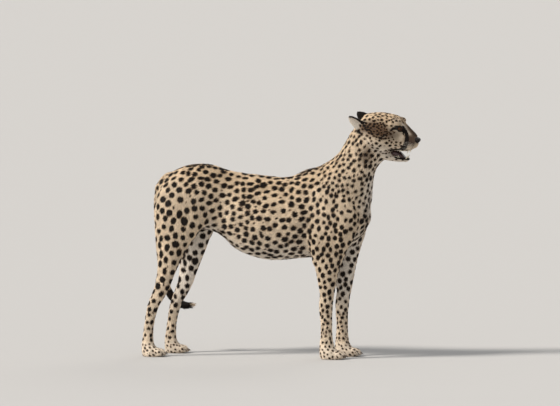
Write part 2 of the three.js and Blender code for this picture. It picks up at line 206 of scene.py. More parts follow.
def addBump(tree, shader, height, strength, distance):
    bump = addNode(tree, "ShaderNodeBump", {"Height": height, "Strength": strength, "Distance": distance})
    tree.links.new(bump.outputs["Normal"], shader.inputs["Normal"])


# A finish in patches of two colours and of two degrees of roughness, with a pitted grain if it has one.
def patchedPaint(name, look):
    paint, tree, shader = newPaint(name, **look["fixed"])
    scale, low, high = look["patches"]
    colour = mixed(tree, ranged(tree, noise(tree, scale), low, high), *look["colours"])
    tree.links.new(colour, shader.inputs["Base Color"])
    if "roughness" in look:
        scale, smooth, rough = look["roughness"]
        tree.links.new(ranged(tree, noise(tree, scale), 0.3, 0.7, smooth, rough), shader.inputs["Roughness"])
    if "pits" in look:
        scale, strength = look["pits"]
        place = addNode(tree, "ShaderNodeTexCoord").outputs["Object"]
        pits = addNode(tree, "ShaderNodeTexVoronoi", {"Vector": place, "Scale": scale}).outputs["Distance"]
        addBump(tree, shader, pits, strength, 0.0004)
    return paint


viewFrom = {
    "azimuth": 10,  # degrees round from its right side
    "elevation": 4,
    "distance": 20,
    "width": 2.24,  # what the picture spans at the animal
    "target": (-0.0115, -0.0185, 0.6175),
}


def makeCamera():
    turn, lift = math.radians(viewFrom["azimuth"]), math.radians(viewFrom["elevation"])
    back = Vector((math.sin(turn) * math.cos(lift), -math.cos(turn) * math.cos(lift), math.sin(lift)))
    camera = bpy.data.objects.new("camera", bpy.data.cameras.new("camera"))
    camera.data.sensor_width = 36
    camera.data.lens = 36 * viewFrom["distance"] / viewFrom["width"]
    camera.data.clip_end = 500
    camera.location = Vector(viewFrom["target"]) + back * viewFrom["distance"]
    camera.rotation_euler = (-back).to_track_quat("-Z", "Y").to_euler()
    scene.collection.objects.link(camera)
    scene.camera = camera


studio = {
    "floorColour": (0.48, 0.47, 0.455, 1),
    # height and colour: near the horizon the sky is as bright as the floor
    "sky": ((0.05, (0.74, 0.73, 0.71, 1)), (0.45, (0.47, 0.48, 0.50, 1))),
    # name: where it stands, size, strength, colour
    "lamps": {
        "keyLamp": ((-3.7, -2.1, 3.9), 12, 3.8, (1.0, 0.955, 0.90)),
        "rimLamp": ((1.5, 4.0, 3.0), 30, 0.5, (1.0, 0.98, 0.94)),
    },
}


def makeStudio():
    shape = bmesh.new()
    bmesh.ops.create_grid(shape, x_segments=1, y_segments=1, size=150)
    floor = bpy.data.objects.new("floor", meshFrom(shape, "floor"))
    scene.collection.objects.link(floor)
    look = {"Base_Color": studio["floorColour"], "Roughness": 0.9, "Specular_IOR_Level": 0.2}
    floor.data.materials.append(newPaint("floorPaint", **look)[0])
    world = bpy.data.worlds.new("sky")
    world.use_nodes = True
    sky = world.node_tree
    place = addNode(sky, "ShaderNodeTexCoord").outputs["Generated"]
    upward = addNode(sky, "ShaderNodeSeparateXYZ", {0: place}).outputs["Z"]
    fade = addNode(sky, "ShaderNodeValToRGB", {0: upward})
    for stop, (height, colour) in zip(fade.color_ramp.elements, studio["sky"]):
        stop.position, stop.color = height, colour
    sky.links.new(fade.outputs[0], sky.nodes["Background"].inputs["Color"])
    scene.world = world
    for name, (place, spread, power, colour) in studio["lamps"].items():
        lamp = bpy.data.lights.new(name, "SUN")
        lamp.angle, lamp.energy, lamp.color = math.radians(spread), power, colour
        stand = bpy.data.objects.new(name, lamp)
        stand.location = place
        stand.rotation_euler = (-Vector(place)).to_track_quat("-Z", "Y").to_euler()
        scene.collection.objects.link(stand)
    scene.view_settings.view_transform = "Standard"


makeCamera()
makeStudio()
print("stage: camera, floor and lamps")

# X runs from the skull to the nose tip at 0, Y to its left, Z up, in millimetres.
headPlace = {"noseTip": (0.559497, -0.056487, 0.880), "turn": -9, "pitch": 16.5, "roll": 4}
headToBody = (
    Matrix.Translation(headPlace["noseTip"])
    @ Matrix.Rotation(math.radians(headPlace["turn"]), 4, "Z")
    @ Matrix.Rotation(math.radians(headPlace["pitch"]), 4, "Y")
    @ Matrix.Rotation(math.radians(headPlace["roll"]), 4, "X")
    @ Matrix.Scale(0.001, 4)
)
headAxes = np.array(headToBody)[:3, :3]
headOrigin = np.array(headToBody)[:3, 3]


def intoHead(points):
    return (points - headOrigin) @ np.linalg.inv(headAxes).T


def outOfHead(points):
    return points @ headAxes.T + headOrigin


def facingInHead(normals):
    return unit(normals @ np.linalg.inv(headAxes).T)


def mirroredHead(points):
    local = intoHead(points)
    local[:, 1] = np.abs(local[:, 1])
    return local


# Which points lie ahead of one place and above another in the head's frame, and above a height in metres.
def inHead(points, back, low=-math.inf, height=0.76):
    local = intoHead(points)
    return (local[:, 0] > back) & (local[:, 2] > low) & (points[:, 2] > height)


eye = {
    "radius": 13.8,  # millimetres
    "sunk": 5.0,
    "gaze": (0.66, 0.745, 0.10),  # the way the left eye opens, in the head's frame
    "inner": (0.74, -0.63, -0.26),  # roughly towards the corner nearest the nose
    "halfLength": 55,  # of the opening, in degrees round the eyeball
    "upper": 29,
    "lower": 25,
    "lidThickness": 2.0,
    "rim": 1.1,
    "crease": (7.5, 2.2, 1.2),  # how far above the lid its fold lies, how wide and how deep
    "black": (8.5, 5.4),  # width of the black rim above and below, in millimetres: the lids' own black, widened by painted shade, most of all above, where the brow shades the eye
}
eyes = {"eye_left": 1, "eye_right": -1}  # and the side of each


# The ways that an eye looks, its inner corner lies and its upper lid stands.
def eyeAxes(name):
    gaze = np.array(eye["gaze"]) * (1, eyes[name], 1)
    gaze /= np.linalg.norm(gaze)
    inner = np.array(eye["inner"]) * (1, eyes[name], 1)
    inner -= gaze * (inner @ gaze)
    inner /= np.linalg.norm(inner)
    upward = np.cross(gaze, inner)
    return gaze, inner, upward * np.sign(upward[2])


# The ball's centre in the head's frame. It sits deeper than the modelled one, behind lids of some thickness.
def eyeCentre(name):
    low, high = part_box(name)
    return intoHead(np.array([(low + high) / 2]))[0] - eye["sunk"] * eyeAxes(name)[0]


fleshNodes = [
    "trunk", "neck", "head", "jaw", "ear_left", "ear_right",
    "foreleg_left", "foreleg_right", "forepaw_left", "forepaw_right",
    "hindleg_left", "hindleg_right", "hindpaw_left", "hindpaw_right",
    "tail_base", "tail_middle", "tail_tip",
]
paws = [name for name in fleshNodes if "paw" in name]

skinMake = {
    "cell": 0.0062,  # size of the faces on the body
    "fineCell": 0.0026,
    "overlap": 0.0008,  # how much each part grows so that neighbours run together
    "earOverlap": 0.0016,
    "earThickening": 0.0042,  # while the coarse surface is made, as it is thinner than two faces
    "fineBelow": 0.05,  # the paws have the finer faces too
    # faces of the head are divided again round an eye, ahead of a place and between two pairs of X and Z
    "fineEye": ((-84, 33, 22), 31, 24),  # place and radius, then the radius round the ball of a third one
    "fineNose": -42,
    "fineMouth": ((-98, -104), (math.inf, -52)),
    "tailEnd": ((-0.47, 0.098, -1), (-0.37, 1, 0.215)),  # a box round it, which has them as well
    "rounding": 22,  # rounds of smoothing
    # how far a round smooths each part, from 0 to 1
    "softness": {
        "trunk": 1.0, "neck": 1.0, "head": 0.24, "jaw": 0.24, "ear": 0.16, "foreleg": 0.36, "forepaw": 0.08,
        "hindleg": 0.36, "hindpaw": 0.08, "tail": 0.36,
    },
}

# root and tip in the head's frame for the left side, and thickness at the root
teeth = {
    "upperCanine": ((-31, 16, -51), (-33.5, 17, -70), 4.2),
    "upperCheek": ((-60, 24, -58), (-62, 24, -71), 5.5),
    "lowerCanine": ((-33, 11, -89), (-30, 13, -73), 4.0),
    "lowerCheek": ((-64, 19, -95), (-64, 19, -83), 4.6),
}


# Draws the modelled teeth back into the gums, as the teeth are a piece of their own.
def withoutTeeth(points, row):
    local = intoHead(points)
    for root, tip, thickness in [tooth for name, tooth in teeth.items() if name.startswith(row)]:
        for side in (1, -1):
            start, end = np.array(root) * (1, side, 1), np.array(tip) * (1, side, 1)
            line = (end - start) / np.linalg.norm(end - start)
            out = (local - start) @ line
            away = np.linalg.norm(local - start - out[:, None] * line, axis=1)
            held = (out > 3) & (out < 25) & (away < thickness + 1)  # what stands over 3 mm out
            local[held] -= (out[held, None] - 1) * line
    return outOfHead(local)


def joinedFlesh(earGrow):
    whole = bmesh.new()
    for name in fleshNodes + ["eye_left", "eye_right"]:
        part = bmesh.new()
        part.from_mesh(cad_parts[name].data)
        bmesh.ops.remove_doubles(part, verts=part.verts, dist=1e-5)
        part.normal_update()
        grow = earGrow if name.startswith("ear") else skinMake["overlap"]
        for vert in part.verts:
            vert.co += vert.normal * grow
        mesh = meshFrom(part, name)
        if name in ("head", "jaw"):
            setPoints(mesh, withoutTeeth(pointsOf(mesh), "upper" if name == "head" else "lower"))
        if name.startswith("eye"):
            local = intoHead(pointsOf(mesh))
            setPoints(mesh, outOfHead(local + eyeCentre(name) - local.mean(axis=0)))
        whole.from_mesh(mesh)
        bpy.data.meshes.remove(mesh)
    return meshFrom(whole, "flesh")


# The mesh that an object's modifiers make of it. The object itself goes.
def finalMesh(thing):
    made = bpy.data.meshes.new_from_object(thing.evaluated_get(bpy.context.evaluated_depsgraph_get()))
    bpy.data.objects.remove(thing)
    return made


# One closed surface round everything in the mesh, with faces `cell` wide.
def remeshed(mesh, cell):
    thing = bpy.data.objects.new("worked", mesh)
    scene.collection.objects.link(thing)
    change = thing.modifiers.new("change", "REMESH")
    change.mode, change.voxel_size = "VOXEL", cell
    return finalMesh(thing)


# Divides the faces whose corners are all chosen.
def divide(mesh, chosen):
    shape = bmesh.new()
    shape.from_mesh(mesh)
    shape.verts.ensure_lookup_table()
    edges = [edge for edge in shape.edges if chosen[edge.verts[0].index] and chosen[edge.verts[1].index]]
    bmesh.ops.subdivide_edges(shape, edges=edges, cuts=1, use_grid_fill=True)
    bmesh.ops.triangulate(shape, faces=[face for face in shape.faces if len(face.verts) > 4])
    shape.to_mesh(mesh)
    shape.free()


def trianglesOf(mesh):
    return sum(len(face.vertices) - 2 for face in mesh.polygons)


# The modelled part that lies nearest to each point.
def nearestPart(points):
    verts, faces, owner = [], [], []
    for index, name in enumerate(fleshNodes):
        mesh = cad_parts[name].data
        start = len(verts)
        verts += [vert.co for vert in mesh.vertices]
        faces += [[start + i for i in face.vertices] for face in mesh.polygons]
        owner += [index] * len(mesh.polygons)
    tree = BVHTree.FromPolygons(verts, faces)
    owner = np.array(owner)
    return owner[[tree.find_nearest(point)[2] for point in points]]


def isPart(part, *words):
    chosen = [i for i, name in enumerate(fleshNodes) if any(name.startswith(word) for word in words)]
    return np.isin(part, chosen)


# One row of a table of parts for each point.
def partValues(part, table):
    values = np.zeros((len(part),) + np.shape(next(iter(table.values()))))
    for word, value in table.items():
        values[isPart(part, word)] = value
    return values


def surfaceTree(mesh):
    return BVHTree.FromPolygons(pointsOf(mesh).tolist(), [face.vertices[:] for face in mesh.polygons])


# The flesh as one surface. The head, paws and tail end are divided and drawn onto a finer one.
def makeSkinShape():
    close, mesh = (
        remeshed(joinedFlesh(skinMake[grow]), skinMake[cell])
        for grow, cell in (("earOverlap", "fineCell"), ("earThickening", "cell"))
    )
    print("skin: joined,", trianglesOf(mesh), "triangles")
    points = pointsOf(mesh)
    low, high = skinMake["tailEnd"]
    tailEnd = np.all((points > low) & (points < high), axis=1)
    divide(mesh, inHead(points, -300, -128, 0.77) | (points[:, 2] < skinMake["fineBelow"]) | tailEnd)
    points = pointsOf(mesh)
    fine = inHead(points, -305, -133, 0.765) | (points[:, 2] < skinMake["fineBelow"] + 0.005)
    drawn = np.flatnonzero(fine | isPart(nearestPart(points), "tail_tip"))
    tree = surfaceTree(close)
    points[drawn] = [tree.find_nearest(point)[0] for point in points[drawn]]
    # the body's faceted forms are rounded, the head and paws less
    edges = edgesOf(mesh)
    amount = blended(partValues(nearestPart(points), skinMake["softness"]), edges, 10)
    points = relaxed(points, edges, 0.5 * amount, skinMake["rounding"])
    setPoints(mesh, points)
    # the eyes, nose and lips are divided again
    local = intoHead(points)
    around, first, second = skinMake["fineEye"]
    low, high = skinMake["fineMouth"]
    flat = local[:, ::2]
    fine = np.all((flat > low) & (flat < high), axis=1) | (local[:, 0] > skinMake["fineNose"])
    fine |= np.linalg.norm(mirroredHead(points) - around, axis=1) < first
    divide(mesh, fine & inHead(points, -120, -125))
    local = intoHead(pointsOf(mesh))
    left, right = (np.linalg.norm(local - eyeCentre(name), axis=1) < second for name in eyes)
    divide(mesh, left | right)
    points = pointsOf(mesh)
    setPoints(mesh, relaxed(points, edgesOf(mesh), 0.4 * inHead(points, -115), 2))
    print("skin: face divided,", trianglesOf(mesh), "triangles")
    return mesh


bodyMiddle = -0.0185  # Y of the plane between its two sides

# How far forward of the right leg the left one stands: heights, then distances.
strides = {
    "fore": ((0.058, 0.178, 0.3, 0.39, 0.47, 0.52, 0.735), (0.042, 0.043, 0.047, 0.041, 0.024, 0.016, 0.018)),
    "hind": (
        (0.058, 0.236, 0.345, 0.435, 0.48, 0.525, 0.575), (0.062, 0.062, 0.061, 0.053, 0.042, 0.027, 0.012)
    ),
    "none": ((0, 1), (0, 0)),
}

# name: which leg it goes with, centre (X, out from the middle, Z), radii, height in millimetres
bodyForms = {
    "shoulderBlade": ("fore", (0.165, 0.07, 0.672), (0.055, 0.05, 0.065), 4),
    "bladeHollow": ("fore", (0.232, 0.085, 0.640), (0.028, 0.06, 0.05), -4),
    "shoulderPoint": ("fore", (0.285, 0.07, 0.575), (0.048, 0.05, 0.055), 6),
    "upperArm": ("fore", (0.165, 0.085, 0.490), (0.06, 0.05, 0.085), 6),
    "armGroove": ("fore", (0.230, 0.10, 0.500), (0.020, 0.06, 0.080), -5),
    "behindElbow": ("fore", (0.098, 0.10, 0.470), (0.026, 0.06, 0.080), -5),
    "elbow": ("fore", (0.137, 0.083, 0.392), (0.026, 0.04, 0.028), 5),
    "forearm": ("fore", (0.205, 0.09, 0.350), (0.045, 0.04, 0.055), 3),
    "wrist": ("fore", (0.213, 0.083, 0.205), (0.022, 0.03, 0.022), 2),
    "wristPad": ("fore", (0.156, 0.083, 0.188), (0.015, 0.02, 0.016), 5),
    "thighFront": ("hind", (-0.335, 0.075, 0.605), (0.055, 0.05, 0.09), 5),
    "thighGroove": ("hind", (-0.392, 0.09, 0.565), (0.020, 0.06, 0.10), -4),
    "hamstring": ("hind", (-0.455, 0.08, 0.555), (0.05, 0.05, 0.11), 5),
    "knee": ("hind", (-0.288, 0.078, 0.532), (0.028, 0.04, 0.032), 4),
    "underKnee": ("hind", (-0.352, 0.09, 0.450), (0.03, 0.04, 0.035), -2),
    "calf": ("hind", (-0.438, 0.085, 0.425), (0.038, 0.04, 0.055), 3),
    "heelHollow": ("hind", (-0.484, 0.095, 0.318), (0.013, 0.03, 0.045), -5),
    "heel": ("hind", (-0.534, 0.098, 0.242), (0.018, 0.03, 0.024), 4),
    "hipPoint": ("none", (-0.392, 0.055, 0.742), (0.035, 0.03, 0.028), 5),
    "rumpHollow": ("none", (-0.452, 0.04, 0.700), (0.04, 0.03, 0.04), -3),
    "flankHollow": ("none", (-0.228, 0.08, 0.600), (0.055, 0.06, 0.10), -7),
    "flankFold": ("none", (-0.245, 0.085, 0.482), (0.055, 0.04, 0.024), 4),
    "ribCage": ("none", (0.02, 0.10, 0.540), (0.16, 0.05, 0.13), 3),
    "besideSpine": ("none", (-0.06, 0.03, 0.735), (0.30, 0.018, 0.03), -2.5),
    "spine": ("none", (-0.06, 0.0, 0.735), (0.36, 0.012, 0.03), 1.5),
    "betweenBlades": ("none", (0.14, 0.0, 0.768), (0.07, 0.014, 0.03), -2),
    "neckMuscle": ("none", (0.335, 0.05, 0.745), (0.03, 0.03, 0.09), 3),
    "neckGroove": ("none", (0.285, 0.06, 0.700), (0.02, 0.04, 0.10), -3),
    "breast": ("none", (0.345, 0.03, 0.600), (0.03, 0.025, 0.05), 3),
}
ribs = {
    "centre": (0.0, 0.10, 0.55),
    "radii": (0.15, 0.09, 0.13),
    "spacing": 0.031,
    "slant": 0.35,
    "height": 0.9,
}

# The same in the head's frame, in millimetres: centre on the left side, radii, height.
headForms = {
    "roundEye": ((-86, 40, 22), (34, 20, 30), 5.0),
    "brow": ((-90, 33, 50), (27, 18, 18), 11.5),
    "temple": ((-130, 52, 30), (22, 18, 18), -3.5),
    "cheekBone": ((-112, 52, -2), (30, 16, 12), 3.0),
    "cheekBoneBack": ((-144, 66, -12), (28, 14, 13), 2.0),
    "underCheekBone": ((-106, 52, -26), (26, 16, 13), -2.5),
    "cheek": ((-156, 68, -54), (34, 22, 32), 4.0),
    "besideBridge": ((-56, 26, 8), (26, 10, 12), -1.5),
    "stop": ((-72, 0, 44), (16, 18, 12), -2.0),
    "forehead": ((-112, 0, 64), (44, 7, 16), -1.5),
    "whiskerPad": ((-27, 24, -33), (24, 16, 20), 6.5),
    "padFront": ((-14, 13, -34), (14, 11, 14), 3.0),
    "behindPad": ((-54, 36, -38), (10, 12, 20), -2.5),
    "chin": ((-30, 0, -100), (13, 15, 10), 2.0),
    "nostrilCrease": ((-23, 19, -9), (7, 7, 9), -2.0),
    "mouthCorner": ((-88, 38, -73), (9, 10, 7), -3.0),
    "jawLine": ((-120, 40, -106), (40, 10, 10), 2.0),
}
philtrum = {"path": ((-4, 0, -18), (-8, 0, -34), (-16, 0, -50)), "radius": 4.5, "depth": 4.0}


def raised(points, forms, middle, strideOf):
    height = np.zeros(len(points))
    for along, centre, radii, tall in forms:
        for side in (1, -1) if centre[1] else (1,):
            ahead = np.interp(points[:, 2], *strideOf[along]) if side > 0 else 0
            moved = points - np.stack([ahead + 0 * height, middle + 0 * height, 0 * height], axis=1)
            height += tall * near(moved, np.array(centre) * (1, side, 1), radii)
    return height


# Millimetres from the edge of an eye's opening, below 0 inside it. Then how many degrees each point is
# above its middle, and how far it is from the ball's centre and ahead of it.
def fromLidEdge(local, name):
    gaze, inner, upward = eyeAxes(name)
    away = local - eyeCentre(name)
    reach = np.linalg.norm(away, axis=1) + 1e-9
    ahead, across, above = away @ gaze, away @ inner, away @ upward
    along = np.degrees(np.arctan2(across, ahead))
    up = np.degrees(np.arcsin(np.clip(above / reach, -1, 1)))
    share = np.clip(np.abs(along) / eye["halfLength"], 0, 1)  # of the way to a corner
    lean = np.where(along > 0, 0.9, 1.0)  # the inner corner runs out finer
    tall = np.where(up > 0, eye["upper"], eye["lower"]) * (1 - share**2.2) ** lean
    outside = np.abs(up) - tall
    beyond = np.abs(along) - eye["halfLength"]
    edge = np.where(beyond > 0, np.hypot(np.maximum(beyond, 0), up), outside)
    return edge * math.pi / 180 * eye["radius"], up, reach, ahead


def openLids(local):
    size = eye["radius"]
    for name in eyes:
        centre = eyeCentre(name)
        edge, up, reach, ahead = fromLidEdge(local, name)
        lid = size + eye["lidThickness"] + eye["rim"] * np.exp(-((edge - 1.2) / 1.6) ** 2)
        place, wide, deep = eye["crease"]
        fold = np.where(up > 0, deep, 0.5 * deep) * np.exp(-((edge - place) / wide) ** 2)
        kept = np.maximum(reach, lid * (1 - ease(edge, 9, 16)))
        shut = np.where(edge < 9, np.maximum(reach, lid), kept) - fold * (edge > 0)
        # close round the eye the lids lie on the ball, whatever the skin did before
        lying = 1 - ease(edge, 3, 10)
        shut = shut * (1 - lying) + np.minimum(shut, lid) * lying
        share = ease(edge, -0.7, 0.5)  # within the opening the skin goes behind the ball's face
        target = 0.80 * size * (1 - share) + shut * share
        move = (ahead > -2) & (reach < 30) & (edge < 18)
        step = (local - centre) / reach[:, None]
        local = np.where(move[:, None], centre + step * target[:, None], local)
    return local


ear = {
    "line": ((-222, 50, -12), (-290, 58, 9)),  # root and tip of the left one, in the head's frame
    "opens": (0.3, 0.85, -0.42),  # the way its hollow faces
    "outline": ((0, 0.3, 0.6, 0.85, 1), (22, 27, 26, 18, 8)),  # its half width along its length
    "cup": 9,  # millimetres that its edges stand forward of its middle
    "farShift": (-7, 1, 2),  # millimetres that the tip of the left ear is turned back and up
    "blackAbove": (23, 10),  # width of the black along its upper edge, at root and tip
    "blackBelow": 3.0,
}
toe = {
    "width": 0.0034,  # metres, of the grooves between the toes
    "depth": 0.0046,
    "places": (-0.0148, 0, 0.0148),  # sideways from the middle of the paw
    "runsOut": (0.055, 0.032),  # how far behind the paw's front a groove starts, and where it is full
}
# how far the skin lies inside the modelled form, in millimetres
coatDepth = {
    "trunk": 3.2, "neck": 3.2, "head": 1.4, "jaw": 1.2, "ear": 1.0,
    "foreleg": 2.2, "forepaw": 1.0, "hindleg": 2.2, "hindpaw": 1.0, "tail": 3.0,
}


def sculptSkin(mesh):
    points, normals, edges = pointsOf(mesh), normalsOf(mesh), edgesOf(mesh)
    part = nearestPart(points)
    depth = blended(partValues(part, coatDepth), edges, 10)
    depth -= 0.6 * ease(intoHead(points)[:, 0], -120, -60) * inHead(points, -120, -128) * depth
    forms = raised(points, bodyForms.values(), bodyMiddle, strides)
    slanted = points[:, 0] - ribs["slant"] * (points[:, 2] - 0.5)
    for side in (1, -1):
        centre = np.array(ribs["centre"]) * (1, side, 1) + (0, bodyMiddle, 0)
        there = near(points, centre, ribs["radii"])
        forms += ribs["height"] * there * np.cos(2 * math.pi * slanted / ribs["spacing"])
    points = points + normals * (forms - depth)[:, None] / 1000
    for name in paws:
        low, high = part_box(name)
        middle = (low.y + high.y) / 2
        starts, full = (high.x - behind for behind in toe["runsOut"])
        size = np.array((0.062, 0.08, 0.1))  # of a box that holds the toes and no other paw
        ahead = np.all(np.abs(points - (high.x - 0.021, middle, 0)) < size / 2, axis=1)
        for out in toe["places"]:
            groove = np.exp(-(((points[:, 1] - middle - out) / toe["width"]) ** 2))
            groove *= ease(points[:, 0], starts, full) * ahead * (normals[:, 2] > -0.3)
            points = points - normals * groove[:, None] * toe["depth"]
    # the face is shaped in the head's own frame
    local = intoHead(points)
    head = inHead(points, -262, -135)
    forms = raised(local, [("none", *form) for form in headForms.values()], 0, strides)
    away, _ = alongPath(local, philtrum["path"])
    forms -= philtrum["depth"] * np.clip(1 - (away / philtrum["radius"]) ** 2, 0, 1)
    local = local + facingInHead(normals) * (forms * head)[:, None]
    socket = sum(near(local, eyeCentre(name), (24, 24, 24)) for name in eyes)
    local = relaxed(local, edges, np.clip(socket * 3, 0, 1) * 0.5, 24)
    points = np.where(head[:, None], outOfHead(openLids(local)), points)
    setPoints(mesh, points)
    local = intoHead(points)
    share = ease(-local[:, 0], 205, 275)
    for side, name in ((1, "ear_left"), (-1, "ear_right")):
        root, tip = (np.array(end) * (1, side, 1) for end in ear["line"])
        opens = np.array(ear["opens"]) * (1, side, 1)
        sideways = np.cross((tip - root) / np.linalg.norm(tip - root), opens / np.linalg.norm(opens))
        across = (local - root) @ sideways
        cupped = ear["cup"] * np.clip(np.abs(across) / 24, 0, 1) ** 2 * ease(share, 0.0, 0.5)
        local = local + (cupped * isPart(part, name))[:, None] * opens
    points = outOfHead(local + (share * isPart(part, "ear_left"))[:, None] * ear["farShift"])
    setPoints(mesh, relaxed(points, edges, 0.4 * blended(isPart(part, "ear"), edges, 3), 6))


eyeColours = {
    "pupil": (0.003, 0.003, 0.003, 1),
    # the iris and its edge are darkened by painted shade, as the eye lies in shade under the brow
    "iris": (0.075, 0.029, 0.008, 1),
    "irisEdge": (0.020, 0.007, 0.003, 1),
    "white": (0.012, 0.008, 0.006, 1),  # dark, as little of it shows
    "pupilEdge": 14,  # degrees from the middle of the pupil
    "irisRim": 40,
    "fixed": {
        "Roughness": 0.5, "Specular_IOR_Level": 0.0,
        "Coat_Weight": 0.8, "Coat_Roughness": 0.02, "Coat_IOR": 1.34,
    },
}


def eyeFinish():
    paint, tree, shader = newPaint("eyeGloss", **eyeColours["fixed"])
    angle = attribute(tree, "fromPupil")
    edge, rim = eyeColours["pupilEdge"], eyeColours["irisRim"]
    streaks = ranged(tree, noise(tree, 900.0, 2.0), 0.35, 0.7, 0.0, 0.5)
    iris = mixed(tree, streaks, eyeColours["iris"], eyeColours["irisEdge"])
    iris = mixed(tree, ranged(tree, angle, 0.6 * rim, rim, 0.0, 0.9), iris, eyeColours["irisEdge"])
    colour = mixed(tree, ranged(tree, angle, edge - 1, edge + 1), eyeColours["pupil"], iris)
    colour = mixed(tree, ranged(tree, angle, rim - 1, rim + 2), colour, eyeColours["white"])
    tree.links.new(colour, shader.inputs["Base Color"])
    return paint


# The ball's pole lies along the gaze. Its mesh holds how far each point is from the pupil, in degrees.
def makeEyeball(name, paint):
    gaze, inner, _ = eyeAxes(name)
    shape = bmesh.new()
    bmesh.ops.create_uvsphere(shape, u_segments=40, v_segments=40, radius=eye["radius"])
    turn = Matrix((inner, np.cross(gaze, inner), gaze)).transposed()
    centre = eyeCentre(name)
    fromPupil = shape.verts.layers.float.new("fromPupil")
    for vert in shape.verts:
        angle = math.degrees(math.atan2(math.hypot(vert.co.x, vert.co.y), vert.co.z))
        vert[fromPupil] = angle
        vert.co *= 1 + 0.055 * max(0, 1 - (angle / 40) ** 2)  # the cornea stands a little proud
        vert.co = Vector(outOfHead(np.array([centre + np.array(turn @ vert.co)]))[0])
    bmesh.ops.recalc_face_normals(shape, faces=shape.faces)
    addPiece(name + "Ball", meshFrom(shape, name), "eye", paint, name)


nose = {
    "centre": (-11, 0, -6),  # millimetres, in the head's frame
    "radii": (13.5, 17, 14),
    "narrowing": 0.45,  # at its foot
    "nostril": ((-0.5, 5.8, -10), (-2.5, 9.5, -8), (-7, 13.5, -7.5), (-14, 16, -11)),  # the left one's slit
    "nostrilWidth": (3.9, 1.5),  # half of it, at the front and at its outer end
    "nostrilDepth": (9.0, 5.4, 3.0),  # at the front, at a third and at the outer end
    "look": {
        "colours": ((0.008, 0.006, 0.006, 1), (0.015, 0.011, 0.010, 1)),  # fresh and worn
        "patches": (260.0, 0.4, 0.75),  # scale, and where in the noise one colour turns to the other
        "roughness": (260.0, 0.42, 0.58),  # scale, smoothest and roughest
        "pits": (1100.0, 0.8),
        "fixed": {"Specular_IOR_Level": 0.2},
    },
}


def makeNose():
    shape = bmesh.new()
    bmesh.ops.create_icosphere(shape, subdivisions=6, radius=1)
    mesh = meshFrom(shape, "nose")
    local = pointsOf(mesh)
    local = np.sign(local) * np.abs(local) ** 0.80  # fuller corners than a ball
    low, high = np.clip(-local[:, 2], 0, 1), np.clip(local[:, 2], 0, 1)
    local[:, 1] *= 1 - nose["narrowing"] * low**1.4 - 0.10 * high**2
    local[:, 0] -= 0.36 * low + 0.10 * high**2
    local[:, 2] -= 0.22 * high**2
    local = local * nose["radii"] + nose["centre"]
    mirrored = local.copy()
    mirrored[:, 1] = np.abs(mirrored[:, 1])
    inward = unit(np.array(nose["centre"]) - (4, 0, 0) - local)
    local += inward * -1.2 * near(mirrored, (-8, 12.5, -5), (8, 5, 5))[:, None]  # wings of the nostrils
    away, place = alongPath(mirrored, nose["nostril"])
    width = np.interp(place, (0, 1), nose["nostrilWidth"])
    depth = np.interp(place, (0, 0.35, 1), nose["nostrilDepth"])
    local += inward * (depth * np.clip(1 - (away / width) ** 2, 0, 1) ** 0.8)[:, None]
    groove = np.clip(1 - (local[:, 1] / 1.3) ** 2, 0, 1) * ease(-local[:, 2], 6, 14)
    local += inward * 1.4 * groove[:, None]
    setPoints(mesh, outOfHead(relaxed(local, edgesOf(mesh), 0.4, 2)))
    addPiece("noseLeather", mesh, "nose", patchedPaint("noseLeather", nose["look"]), "nose")


tongue = {
    "centre": (-72, 0, -92),
    "radii": (44, 19, 9),
    "arch": 13,  # how far its middle rises
    "groove": 2.2,
    "edge": 1.2,  # how far its rim curls up
    "look": {
        # dark reds: the tongue's flesh darkened by painted shade, as it lies in the shade of the mouth
        "colours": ((0.055, 0.016, 0.015, 1), (0.020, 0.006, 0.006, 1)),
        "patches": (90.0, 0.35, 0.7),
        "roughness": (300.0, 0.34, 0.5),
        "pits": (900.0, 0.5),
        "fixed": {"Specular_IOR_Level": 0.5, "Coat_Weight": 0.35, "Coat_Roughness": 0.15},
    },
}


def makeTongue():
    shape = bmesh.new()
    bmesh.ops.create_icosphere(shape, subdivisions=5, radius=1)
    mesh = meshFrom(shape, "tongue")
    local = pointsOf(mesh)
    tip = ease(local[:, 0], -0.2, 1.0)
    local[:, 2] *= 1 - 0.35 * tip
    across = local[:, 1].copy()
    top = ease(local[:, 2], -0.2, 0.4)
    local = local * tongue["radii"] + tongue["centre"]
    local[:, 2] += tongue["arch"] * ease(local[:, 2], -99, -88) * near(local, (-78, 0, -88), (52, 60, 60))
    groove = tongue["groove"] * np.exp(-((across / 0.16) ** 2)) * (1 - tip)
    local[:, 2] += top * (tongue["edge"] * across**2 - groove)
    setPoints(mesh, outOfHead(local))
    addPiece("tonguePiece", mesh, "mouth", patchedPaint("tongueFlesh", tongue["look"]), "tongue")


# Adds a tapering, curved spike to a shape. `bend` is how far its middle leaves the straight line.
def addSpike(whole, root, tip, thickness, bend, sides=12, rings=7, blunt=0.75, flat=1.0):
    root, tip, bend = Vector(root), Vector(tip), Vector(bend)
    shape = bmesh.new()
    bmesh.ops.create_cone(shape, cap_ends=True, segments=sides, radius1=1, radius2=1, depth=1)
    longways = [edge for edge in shape.edges if abs(edge.verts[0].co.z - edge.verts[1].co.z) > 0.9]
    bmesh.ops.subdivide_edges(shape, edges=longways, cuts=rings)
    turn = (tip - root).to_track_quat("Z", "Y").to_matrix()
    for vert in shape.verts:
        share = min(1, max(0, vert.co.z + 0.5))
        half = thickness / 2 * (1 - share**1.6) ** blunt
        across = turn @ Vector((vert.co.x * half, vert.co.y * half * flat, 0))
        vert.co = root.lerp(tip, share) + bend * 4 * share * (1 - share) + across
    bmesh.ops.remove_doubles(shape, verts=shape.verts, dist=0.001)  # closes the tip, out at the paws too
    bmesh.ops.recalc_face_normals(shape, faces=shape.faces)
    mesh = meshFrom(shape, "spike")
    whole.from_mesh(mesh)
    bpy.data.meshes.remove(mesh)


